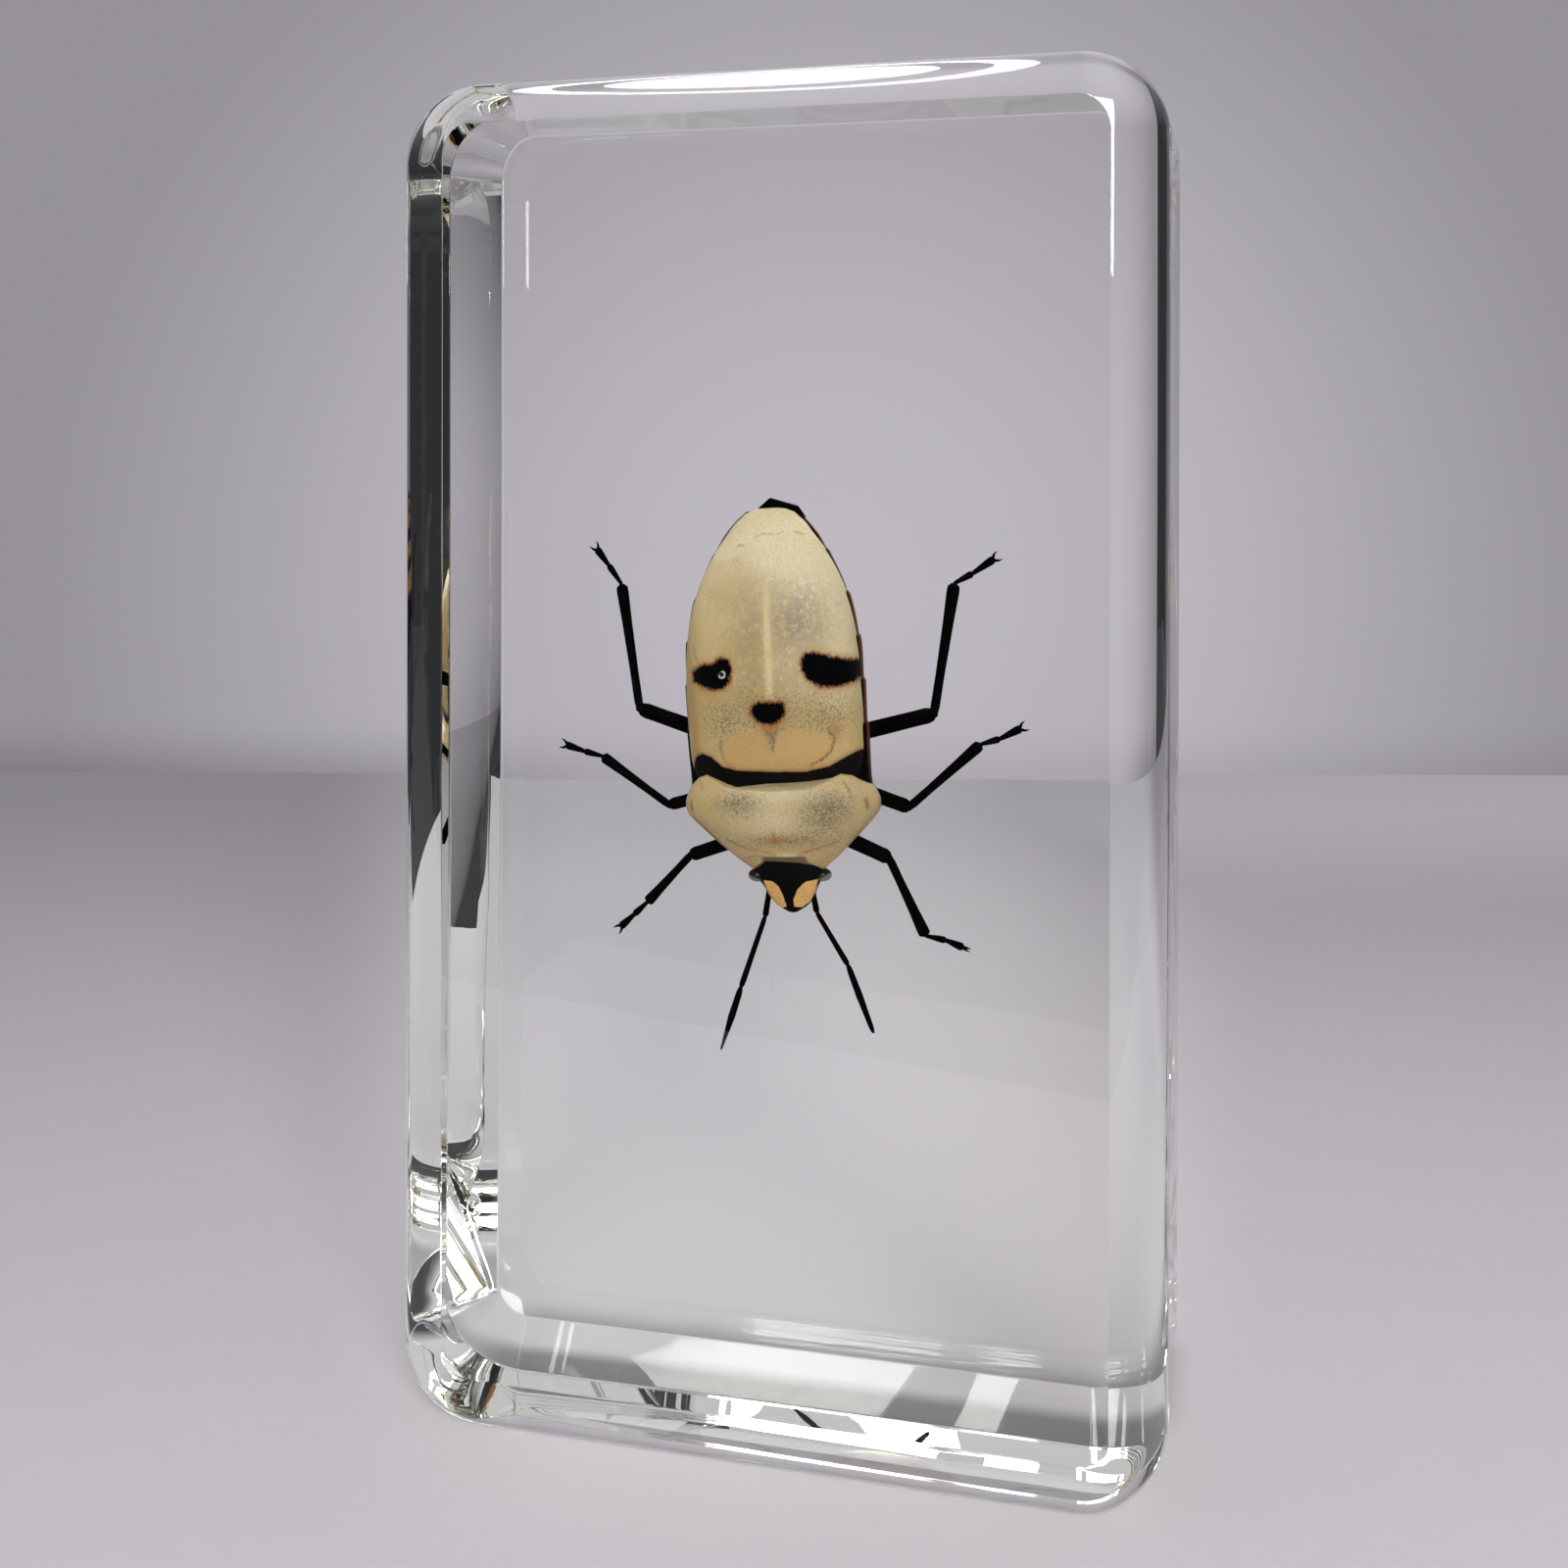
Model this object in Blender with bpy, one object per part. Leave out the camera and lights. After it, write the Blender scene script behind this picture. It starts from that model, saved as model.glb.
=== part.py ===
"""A shield bug sealed in a clear resin block that stands on its short end.

Units are metres, with +Z up. The block's front face looks along -Y, and the origin is the
middle of its base. Its front edges are rounded, and its back edges have a flat bevel.
The bug is modelled about its own centre, with its tail up and its back towards -Y, then
turned and set in the block. The block is parted in two at the level of the legs, and each
half has its share of the pocket round the bug.
"""

import math
from typing import NamedTuple

import bmesh
import bpy
from mathutils import Matrix, Vector

MM = 0.001

# The block: its front rim is rounded, and a flat bevel runs round its back face.
BLOCK_WIDTH = 41 * MM
BLOCK_DEPTH = 15 * MM
BLOCK_HEIGHT = 73 * MM
CORNER_RADIUS = 4.4 * MM  # of the four corners seen from the front
# Each side's rounded front rim and its back bevel: how far each reaches in from the outline
# over the front or back face, and how far it reaches along the side, in millimetres.
RIMS = {
    "left": (2.85, 1.85, 2.35, 3.4),
    "right": (2.63, 3.4, 2.35, 3.0),
    "top": (2.46, 2.2, 1.67, 1.5),
    "bottom": (3.3, 2.1, 2.73, 1.45),
}
CREASE_TURN = math.radians(23)  # where the front face meets its rounded rim
EDGE_STEPS = 8
CORNER_STEPS = 8

# The pocket and the plane that parts it.
PARTING_LEVEL = 0.7 * MM
PARTING_GAP = 0.3 * MM
POCKET_CLEARANCE = 0.3 * MM

# Where the bug's centre lies in the block, and how far it leans.
BUG_CENTRE = Vector((0, 0, 39.47)) * MM
BUG_SIZE = 0.989  # the bug's own size, as a share of the size that the lists below give
BUG_LEAN = math.radians(-3.6)
SPINE_BOW = 0.33  # how far the middle of the body bows to -X, in millimetres

# The body's stations, in millimetres from the bug's centre, from head to tail:
# height, half width, rise of the back, depth of the belly.
TRUNK = [
    (-8.9, 1.9, 0.7, 0.9),
    (-7.6, 3.3, 1.2, 1.6),
    (-5.5, 4.95, 1.7, 2.2),
    (-3.8, 5.02, 1.9, 2.4),
    (-1.3, 5.0, 1.9, 2.5),
    (1.2, 4.95, 1.8, 2.4),
    (3.4, 4.82, 1.7, 2.1),
    (6.0, 4.22, 1.4, 1.7),
    (7.9, 3.34, 1.1, 1.3),
    (9.3, 2.5, 0.8, 1.0),
    (10.1, 1.75, 0.6, 0.8),
    (10.5, 1.25, 0.5, 0.7),
]
SHIELD = [
    (-4.6, 4.3, 2.2),
    (-3.4, 4.75, 2.75),
    (-1.3, 4.86, 3.0),
    (1.2, 4.84, 3.05),
    (3.4, 4.7, 2.85),
    (6.0, 4.08, 2.4),
    (7.9, 3.18, 1.9),
    (9.2, 2.32, 1.4),
    (10.1, 1.5, 0.95),
    (10.6, 0.8, 0.6),
]
COLLAR = [
    (-8.95, 2.0, 0.9),
    (-8.4, 2.75, 1.45),
    (-7.6, 3.6, 1.95),
    (-6.6, 4.6, 2.5),
    (-5.45, 5.4, 2.9),
    (-4.7, 5.12, 3.0),
    (-4.0, 4.2, 2.9),
]
HEAD = [
    (-11.22, 0.3, 0.2, 0.3),
    (-10.95, 0.76, 0.35, 0.5),
    (-10.45, 1.22, 0.5, 0.7),
    (-9.95, 1.46, 0.65, 0.85),
    (-9.4, 1.8, 0.8, 0.95),
    (-8.7, 2.05, 0.95, 1.0),
]
TAIL_OUTLINE = [(-1.4, 10.1), (-0.01, 11.19), (1.54, 10.67), (1.95, 10.0), (0.3, 9.2)]
TAIL_THICKNESS = 0.9
TAIL_DEPTH = 0.1
# Through the tail's thickness: share of the thickness, share of the outline.
TAIL_LEVELS = ((-0.5, 0.86), (-0.2, 1.0), (0.25, 1.0), (0.5, 0.8))
SHIELD_FLOOR = 0.2  # where the shield and the collar end inside the trunk
RIM_STEP = 0.1  # how far each of the trunk's segments stands out at its rear end
RIM_PERIOD = 2.35
RIM_START = -3.4
BELLY_STEP = 1.2  # the same step along the belly, as a share of that at the side
EYE_OFFSET = (1.82, -0.05, -9.25)
EYE_RADII = (0.44, 0.5, 0.36)
BEAK = [((0, 0.42, -10.9), 0.18), ((0, 1.02, -9.6), 0.24), ((0, 1.72, -7.6), 0.19), ((0, 2.28, -5.2), 0.13)]

# How far each joint of a leg lies behind the bug's middle plane, in millimetres.
ROOT_DEPTH = 1.5
HIP_DEPTH = 2.65
KNEE_DEPTH = 0.3
ANKLE_DEPTH = 0.8
TOE_DEPTH = 1.0
HIP_RADIUS = 0.55
ROOT_SHARE = 0.75  # how far out the hip's root lies, as a share of the hip's own distance
NECK_RADIUS = 0.17  # of the thin skin at each joint
FOOT_RADIUS = 0.21
CLAW_LENGTH = 0.55
CLAW_RADIUS = 0.09
CLAW_TIP = 0.03
FEELER_LEVEL = 0.0
FEELER_NECK = 0.1
LONGEST_PINCH = 0.16
PINCH_SHARE = 0.12


class Fit(NamedTuple):
    """How much fatter than life the bug's forms are, in millimetres, and their rings and sides."""

    grow: float
    trunk_rings: int
    trunk_sides: int
    dome_rings: int
    dome_sides: int
    limb_sides: int
    thin_sides: int


LIFELIKE = Fit(0.0, 28, 24, 18, 20, 8, 6)
POCKET = Fit(POCKET_CLEARANCE / MM, 14, 20, 9, 18, 6, 5)


class Leg(NamedTuple):
    """The joints of one leg as (x, z) from the bug's centre, and its radii, in millimetres."""

    hip: tuple
    knee: tuple
    ankle: tuple
    sole: tuple
    toe: tuple
    thigh: float
    shin: float
    claw_spread: float


LEGS = {
    "rear_left": Leg(
        hip=(-1.8, -2.8), knee=(-8.2, -0.05), ankle=(-8.95, 6.85), sole=(-9.7, 7.95), toe=(-10.35, 8.9),
        thigh=0.43, shin=0.3, claw_spread=38,
    ),
    "middle_left": Leg(
        hip=(-2.0, -4.45), knee=(-6.8, -5.42), ankle=(-10.65, -2.7),
        sole=(-11.75, -2.42), toe=(-12.85, -2.03),
        thigh=0.34, shin=0.27, claw_spread=40,
    ),
    "front_left": Leg(
        hip=(-1.6, -7.1), knee=(-5.72, -8.2), ankle=(-8.5, -10.85), sole=(-9.35, -11.55), toe=(-10.2, -12.25),
        thigh=0.38, shin=0.26, claw_spread=36,
    ),
    "rear_right": Leg(
        hip=(1.5, -2.4), knee=(8.3, -0.8), ankle=(9.75, 6.08), sole=(10.75, 6.55), toe=(11.95, 7.28),
        thigh=0.43, shin=0.3, claw_spread=40,
    ),
    "middle_right": Leg(
        hip=(1.7, -4.25), knee=(6.66, -5.73), ankle=(10.66, -2.5), sole=(11.66, -2.27), toe=(12.85, -1.72),
        thigh=0.4, shin=0.27, claw_spread=40,
    ),
    "front_right": Leg(
        hip=(1.3, -6.95), knee=(5.4, -8.42), ankle=(7.08, -12.66), sole=(8.15, -12.92), toe=(9.05, -13.3),
        thigh=0.41, shin=0.29, claw_spread=12,
    ),
}

# Each feeler's joints as (x, z), with the radius of the segment that ends there.
FEELERS = {
    "left": [(-1.2, -9.7), (-1.6, -11.5), (-3.2, -15.35), (-4.55, -18.8)],
    "right": [(1.05, -9.6), (1.3, -11.3), (2.85, -14.1), (4.05, -17.75)],
}
FEELER_RADII = (0.17, 0.16, 0.19)
FEELER_TIPS = {"left": 0.05, "right": 0.13}


def material(name, colour, roughness, transmission=0.0):
    made = bpy.data.materials.new(name)
    made.use_nodes = True
    made.diffuse_color = (*colour, 1)
    shader = made.node_tree.nodes["Principled BSDF"]
    shader.inputs["Base Color"].default_value = (*colour, 1)
    shader.inputs["Roughness"].default_value = roughness
    shader.inputs["Metallic"].default_value = 0
    shader.inputs["Transmission Weight"].default_value = transmission
    return made


def add_object(name, mesh, made_of):
    mesh.materials.append(made_of)
    added = bpy.data.objects.new(name, mesh)
    bpy.context.scene.collection.objects.link(added)
    return added


def loft(name, rings, made_of):
    """A closed skin over rings that all have the same number of points."""
    shape = bmesh.new()
    loops = [[shape.verts.new(point) for point in ring] for ring in rings]
    count = len(rings[0])
    for below, above in zip(loops, loops[1:]):
        for i in range(count):
            j = (i + 1) % count
            shape.faces.new((below[i], below[j], above[j], above[i]))
    shape.faces.new(reversed(loops[0]))
    shape.faces.new(loops[-1])
    bmesh.ops.recalc_face_normals(shape, faces=shape.faces)
    mesh = bpy.data.meshes.new(name)
    shape.to_mesh(mesh)
    shape.free()
    mesh.shade_smooth()
    mesh.set_sharp_from_angle(angle=math.radians(45))
    return add_object(name, mesh, made_of)


def eased(stations, height):
    """The values at a height, on smooth curves through the stations."""
    last = len(stations) - 1
    i = next((k for k in range(last) if height <= stations[k + 1][0]), last - 1)
    start, end = stations[i], stations[i + 1]
    before, after = stations[max(i - 1, 0)], stations[min(i + 2, last)]
    span = end[0] - start[0]
    t = (height - start[0]) / span
    values = []
    for k in range(1, len(start)):
        slope_in = (end[k] - before[k]) / (end[0] - before[0]) * span
        slope_out = (after[k] - start[k]) / (after[0] - start[0]) * span
        rise = end[k] - start[k]
        bend = (3 * rise - 2 * slope_in - slope_out) * t**2 + (slope_in + slope_out - 2 * rise) * t**3
        values.append(start[k] + slope_in * t + bend)
    return values


def signed_power(value, power):
    return math.copysign(abs(value) ** power, value)


def spine(height):
    """How far the bug's midline lies to the side at this height."""
    return -SPINE_BOW * max(0.0, 1 - (height / 10.5) ** 2)


def body_ring(height, half_width, back, belly, sides, squareness=0.8):
    """One outline round the body: the back rises towards -Y, and the belly sinks towards +Y."""
    ring = []
    for i in range(sides):
        turn = math.tau * i / sides
        x = spine(height) + half_width * signed_power(math.cos(turn), squareness)
        rise = signed_power(math.sin(turn), squareness)
        y = -back * rise if rise > 0 else -belly * rise
        ring.append(Vector((x, y, height)) * MM)
    return ring


def levels(stations, rings):
    low, high = stations[0][0], stations[-1][0]
    return [low + (high - low) * i / (rings - 1) for i in range(rings)]


def rim(height):
    """The small step at the side of each segment of the trunk."""
    if height < RIM_START:
        return 0.0
    return RIM_STEP * ((height - RIM_START) / RIM_PERIOD % 1.0)


def stretched(height, stations, grow):
    """A height moved out from the middle of the stations, so that the ends move by grow."""
    middle = (stations[0][0] + stations[-1][0]) / 2
    half = (stations[-1][0] - stations[0][0]) / 2
    return middle + (height - middle) * (1 + grow / half)


def trunk(fit, shell):
    rings = []
    for height in levels(TRUNK, fit.trunk_rings):
        half_width, back, belly = eased(TRUNK, height)
        step = rim(height)
        place = stretched(height, TRUNK, fit.grow)
        sizes = (half_width + step + fit.grow, back + fit.grow, belly + step * BELLY_STEP + fit.grow)
        rings.append(body_ring(place, *sizes, fit.trunk_sides))
    return loft("trunk", rings, shell)


def dome(name, stations, fit, shell):
    """A domed plate on the bug's back, which ends inside the trunk."""
    rings = []
    for height in levels(stations, fit.dome_rings):
        half_width, back = eased(stations, height)
        place = stretched(height, stations, fit.grow)
        rings.append(body_ring(place, half_width + fit.grow, back + fit.grow, SHIELD_FLOOR, fit.dome_sides))
    return loft(name, rings, shell)


def head(fit, shell):
    rings = []
    for height in levels(HEAD, fit.dome_rings // 2):
        sizes = [size + fit.grow for size in eased(HEAD, height)]
        rings.append(body_ring(stretched(height, HEAD, fit.grow), *sizes, 2 * fit.limb_sides))
    return loft("head", rings, shell)


def eye(side, fit, shell):
    x, y, z = EYE_OFFSET
    shape = bmesh.new()
    bmesh.ops.create_uvsphere(shape, u_segments=2 * fit.thin_sides, v_segments=fit.limb_sides, radius=1)
    radii = Matrix.Diagonal([(radius + fit.grow) * MM for radius in EYE_RADII] + [1])
    place = Matrix.Translation(Vector((side * x + spine(z), y, z)) * MM)
    bmesh.ops.transform(shape, matrix=place @ radii, verts=shape.verts)
    mesh = bpy.data.meshes.new("eye")
    shape.to_mesh(mesh)
    shape.free()
    mesh.shade_smooth()
    return add_object("eye", mesh, shell)


def tail(fit, shell):
    """The bare last segment, an uneven blunt wedge that shows past the shield."""
    middle = sum((Vector(point) for point in TAIL_OUTLINE), Vector((0, 0))) / len(TAIL_OUTLINE)
    rings = []
    for level, share in TAIL_LEVELS:
        depth = level * (TAIL_THICKNESS + 2 * fit.grow) + TAIL_DEPTH
        ring = []
        for x, z in TAIL_OUTLINE:
            out = Vector((x, z)) - middle
            point = middle + out * share + out.normalized() * fit.grow
            ring.append(Vector((point.x, depth, point.y)) * MM)
        rings.append(ring)
    return loft("tail", rings, shell)


def tube(name, stops, shell, sides):
    """A limb with a ring of the given radius at each stop, square to the way the limb runs there."""
    points = [Vector(point) for point, _ in stops]
    rings = []
    for i, (_, radius) in enumerate(stops):
        way = (points[min(i + 1, len(points) - 1)] - points[max(i - 1, 0)]).normalized()
        across = way.cross(Vector((0, 1, 0))).normalized()
        upward = across.cross(way)
        ring = []
        for k in range(sides):
            turn = math.tau * (k + 0.5) / sides
            ring.append((points[i] + (across * math.cos(turn) + upward * math.sin(turn)) * radius) * MM)
        rings.append(ring)
    return loft(name, rings, shell)


def segment(start, end, first_radius, last_radius, fit, neck=NECK_RADIUS):
    """One segment of a limb, pinched to a thin neck at both of its ends."""
    length = (end - start).length
    pinch = min(LONGEST_PINCH, PINCH_SHARE * length)
    reaches = [0, pinch, length - pinch, length]
    radii = [neck, first_radius, last_radius, neck]
    return [(start.lerp(end, reach / length), radius + fit.grow) for reach, radius in zip(reaches, radii)]


def limb(name, segments, fit, shell, sides):
    """Segments end to end as one tube, whose far end moves on by the fit's growth."""
    stops = segments[0] + [stop for following in segments[1:] for stop in following[1:]]
    end, radius = stops[-1]
    way = (end - stops[-2][0]).normalized()
    stops[-1] = (end + way * fit.grow, radius)
    return tube(name, stops, shell, sides)


def leg_joints(leg):
    depths = (HIP_DEPTH, KNEE_DEPTH, ANKLE_DEPTH, TOE_DEPTH, TOE_DEPTH)
    flat = (leg.hip, leg.knee, leg.ankle, leg.sole, leg.toe)
    return [Vector((x, depth, z)) for (x, z), depth in zip(flat, depths)]


def leg_tube(name, leg, fit, shell):
    hip, knee, ankle, sole, toe = leg_joints(leg)
    root = Vector((hip.x * ROOT_SHARE, ROOT_DEPTH, hip.z))
    foot_neck = NECK_RADIUS * 0.75
    segments = [
        segment(root, hip, HIP_RADIUS, HIP_RADIUS, fit, neck=leg.thigh),
        segment(hip, knee, leg.thigh, leg.thigh * 0.9, fit),
        segment(knee, ankle, leg.shin * 0.8, leg.shin * 1.1, fit),
        segment(ankle, sole, FOOT_RADIUS * 0.8, FOOT_RADIUS, fit, neck=foot_neck),
        segment(sole, toe, FOOT_RADIUS * 0.8, FOOT_RADIUS, fit, neck=foot_neck),
    ]
    return limb(name, segments, fit, shell, fit.limb_sides)


def claw(name, leg, side, fit, shell):
    """One of the two hooks at the end of a foot."""
    *_, sole, toe = leg_joints(leg)
    way = (toe - sole).normalized()
    spread = Matrix.Rotation(math.radians(side * leg.claw_spread), 3, "Y")
    hooked = Matrix.Rotation(math.radians(side * leg.claw_spread * 0.4), 3, "Y")
    root = toe - way * CLAW_RADIUS
    bend = root + spread @ way * CLAW_LENGTH * 0.55
    tip = bend + hooked @ way * CLAW_LENGTH * 0.45
    radii = [radius + fit.grow for radius in (CLAW_RADIUS, CLAW_RADIUS * 0.8, CLAW_TIP)]
    segments = [[(root, radii[0]), (bend, radii[1])], [(bend, radii[1]), (tip, radii[2])]]
    return limb(name, segments, fit, shell, fit.thin_sides)


def feeler(side, fit, shell):
    points = [Vector((x, FEELER_LEVEL, z)) for x, z in FEELERS[side]]
    segments = []
    for start, end, radius in zip(points, points[1:], FEELER_RADII):
        segments.append(segment(start, end, radius * 0.85, radius, fit, neck=FEELER_NECK))
    segments[-1][-1] = (points[-1], FEELER_TIPS[side] + fit.grow)
    return limb(f"feeler_{side}", segments, fit, shell, fit.thin_sides)


def beak(fit, shell):
    return tube("beak", [(point, radius + fit.grow) for point, radius in BEAK], shell, fit.thin_sides)


def bug_shapes(fit, cream, black):
    """Every form of the bug, each a closed shape that overlaps its neighbours."""
    shapes = [
        trunk(fit, black),
        dome("shield", SHIELD, fit, cream),
        dome("collar", COLLAR, fit, cream),
        head(fit, black),
        tail(fit, black),
        beak(fit, black),
    ]
    shapes += [eye(side, fit, black) for side in (-1, 1)]
    shapes += [feeler(side, fit, black) for side in FEELERS]
    for name, leg in LEGS.items():
        shapes.append(leg_tube(f"leg_{name}", leg, fit, black))
        shapes += [claw(f"claw_{name}", leg, side, fit, black) for side in (-1, 1)]
    return shapes


def set_in_block(shapes):
    for shape in shapes:
        shape.location = BUG_CENTRE
        shape.rotation_euler = (0, BUG_LEAN, 0)
        shape.scale = (BUG_SIZE,) * 3


def helpers(name, shapes):
    """Puts shapes in a collection of their own, as guides that aren't part of the model."""
    group = bpy.data.collections.new(name)
    bpy.context.scene.collection.children.link(group)
    for shape in shapes:
        bpy.context.scene.collection.objects.unlink(shape)
        group.objects.link(shape)
        shape.hide_render = True
        shape.display_type = "WIRE"
    return group


def combine(target, group, operation):
    join = target.modifiers.new(operation.lower(), "BOOLEAN")
    join.operation = operation
    join.operand_type = "COLLECTION"
    join.collection = group
    join.solver = "EXACT"
    join.material_mode = "TRANSFER"


def bug(cream, black):
    shapes = bug_shapes(LIFELIKE, cream, black)
    set_in_block(shapes)
    body = shapes[0]
    body.name = "insect"
    combine(body, helpers("bug_forms", shapes[1:]), "UNION")
    return body


def rounded_rim(inset, depth):
    """A front rim's section, as depths behind the face and insets: a round that ends in a crease."""
    wide = inset / (1 - math.sin(CREASE_TURN))
    deep = depth / math.cos(CREASE_TURN)
    section = []
    for step in range(EDGE_STEPS + 1):
        turn = CREASE_TURN + (math.pi / 2 - CREASE_TURN) * step / EDGE_STEPS
        section.append((deep * (math.cos(CREASE_TURN) - math.cos(turn)), wide * (1 - math.sin(turn))))
    return section


def bevelled_rim(inset, depth):
    """A back rim's section, as depths from the face and insets."""
    return [(0, inset), (depth, 0)]


def ring(sections, step, face, outward):
    """One ring of points round the block, between its face and its sides."""
    right, top = BLOCK_WIDTH / 2 - CORNER_RADIUS, BLOCK_HEIGHT - CORNER_RADIUS
    corners = (
        (right, CORNER_RADIUS, "right", "bottom", -90),
        (right, top, "right", "top", 0),
        (-right, top, "left", "top", 90),
        (-right, CORNER_RADIUS, "left", "bottom", 180),
    )
    points = []
    for x, z, side, end, start in corners:
        side_depth, side_inset = sections[side][step]
        end_depth, end_inset = sections[end][step]
        for corner_step in range(CORNER_STEPS + 1):
            turn = math.radians(start + 90 * corner_step / CORNER_STEPS)
            across, up = math.cos(turn), math.sin(turn)
            depth = side_depth + (end_depth - side_depth) * up**2
            points.append(Vector((
                x + (CORNER_RADIUS - side_inset * MM) * across,
                face - outward * depth * MM,
                z + (CORNER_RADIUS - end_inset * MM) * up,
            )))
    return points


def block_half(name, outward, sections, resin):
    """The block's half in front of the parting, where outward is -1, or behind it, where it is 1."""
    face = outward * BLOCK_DEPTH / 2
    parting = PARTING_LEVEL + outward * PARTING_GAP / 2
    rings = [ring(sections, step, face, outward) for step in range(len(sections["left"]))]
    rings.append([Vector((point.x, parting, point.z)) for point in rings[-1]])
    return loft(name, rings, resin)


def clear_scene():
    for found in list(bpy.data.objects):
        bpy.data.objects.remove(found)


def main():
    clear_scene()
    resin = material("clear_resin", (0.95, 0.96, 0.97), 0.03, transmission=1.0)
    cream = material("cream_shell", (0.83, 0.74, 0.5), 0.3)
    black = material("black_shell", (0.015, 0.012, 0.012), 0.35)
    bug(cream, black)
    pocket_shapes = bug_shapes(POCKET, cream, black)
    set_in_block(pocket_shapes)
    pocket = helpers("pocket", pocket_shapes)
    front_rims = {side: rounded_rim(*sizes[:2]) for side, sizes in RIMS.items()}
    back_rims = {side: bevelled_rim(*sizes[2:]) for side, sizes in RIMS.items()}
    front = block_half("resin_front", -1, front_rims, resin)
    back = block_half("resin_back", 1, back_rims, resin)
    for half in (front, back):
        combine(half, pocket, "DIFFERENCE")


main()
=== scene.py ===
"""A shield bug sealed in a clear resin block, standing on a pale floor.

Units are metres, with +Z up. The block's front face looks along -Y, and the origin is the
middle of its base. The bug is built in millimetres about its own centre, with its tail up
and its back towards -Y, then turned and set in the block.
"""

import math

import bmesh
import bpy
import numpy as np
from mathutils import Matrix, Vector


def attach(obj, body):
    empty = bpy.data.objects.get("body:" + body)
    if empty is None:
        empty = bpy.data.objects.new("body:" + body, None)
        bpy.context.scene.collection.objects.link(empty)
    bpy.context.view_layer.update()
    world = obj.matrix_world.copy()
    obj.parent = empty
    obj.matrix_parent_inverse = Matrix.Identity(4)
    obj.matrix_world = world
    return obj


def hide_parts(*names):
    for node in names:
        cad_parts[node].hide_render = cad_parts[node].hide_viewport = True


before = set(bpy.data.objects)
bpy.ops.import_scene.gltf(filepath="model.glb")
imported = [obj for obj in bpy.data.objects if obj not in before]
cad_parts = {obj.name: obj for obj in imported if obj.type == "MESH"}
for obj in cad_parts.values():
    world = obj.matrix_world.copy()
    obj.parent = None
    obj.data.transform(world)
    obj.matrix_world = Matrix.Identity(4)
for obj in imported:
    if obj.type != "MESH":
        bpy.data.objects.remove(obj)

MM = 0.001

# ---------- the block
BLOCK_WIDTH = 41.0
BLOCK_DEPTH = 15.0
BLOCK_HEIGHT = 73.0
CORNER_RADIUS = 4.4  # of the four corners seen from the front
# Each side's rounded front rim and its back bevel: how far each reaches in from the outline
# over the front or back face, and how far it reaches along the side.
RIMS = {
    "left": (2.85, 1.85, 2.35, 3.4),
    "right": (2.63, 3.4, 2.35, 3.0),
    "top": (2.46, 2.2, 1.67, 1.5),
    "bottom": (3.3, 2.1, 2.73, 1.45),
}
BEVEL_SOFTNESS = 0.2  # radius between a bevel and the side or the back face
CREASE_TURN = math.radians(23)  # where the front face meets its rounded rim
CREASE_WIDTH = 0.1
EDGE_STEPS = 24
CORNER_STEPS = 32
SOFT_STEPS = 8
RESIN_IOR = 1.54
RESIN_TINT = (0.5, 0.62, 0.42)
RESIN_DENSITY = 4.5  # per metre
RESIN_WAVE_LENGTH = 9.0  # of the faint unevenness of its faces
RESIN_WAVE_RISE = 0.012

# ---------- the bug
BUG_CENTRE = Vector((0, 0, 39.47)) * MM
BUG_SIZE = 0.989  # the bug's own size, as a share of the size that the lists below give
BUG_LEAN = math.radians(-3.6)
SPINE_BOW = 0.33
SPINE_REACH = 10.5
SQUARENESS = 0.8

# Stations in millimetres from the bug's centre, from head to tail:
# height, half width, rise of the back, depth of the belly.
TRUNK = [
    (-8.9, 1.9, 0.7, 0.9),
    (-7.6, 3.3, 1.2, 1.6),
    (-5.5, 4.95, 1.7, 2.2),
    (-3.8, 5.02, 1.9, 2.4),
    (-1.3, 5.0, 1.9, 2.5),
    (1.2, 4.95, 1.8, 2.4),
    (3.4, 4.82, 1.7, 2.1),
    (6.0, 4.22, 1.4, 1.7),
    (7.9, 3.34, 1.1, 1.3),
    (9.3, 2.5, 0.8, 1.0),
    (10.1, 1.75, 0.6, 0.8),
    (10.5, 1.25, 0.5, 0.7),
]
# Height, half width, rise of the back.
SHIELD = [
    (-5.2, 4.3, 2.0),
    (-4.6, 4.45, 2.2),
    (-3.4, 4.8, 2.72),
    (-1.3, 4.93, 3.0),
    (1.2, 4.92, 3.05),
    (3.4, 4.79, 2.85),
    (6.0, 4.22, 2.4),
    (7.9, 3.36, 1.9),
    (9.2, 2.5, 1.4),
    (10.1, 1.72, 0.95),
    (10.5, 1.15, 0.62),
    (10.66, 0.6, 0.35),
]
COLLAR = [
    (-8.95, 1.95, 0.85),
    (-8.4, 2.65, 1.4),
    (-7.6, 3.55, 1.95),
    (-6.6, 4.6, 2.5),
    (-5.75, 5.34, 2.85),
    (-5.2, 5.42, 2.98),
    (-4.5, 5.12, 3.05),
    (-3.5, 4.5, 3.1),
]
HEAD = [
    (-11.22, 0.3, 0.2, 0.3),
    (-10.95, 0.76, 0.35, 0.5),
    (-10.45, 1.22, 0.5, 0.7),
    (-9.95, 1.46, 0.65, 0.85),
    (-9.4, 1.8, 0.8, 0.95),
    (-8.5, 2.05, 0.95, 1.0),
]
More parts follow.
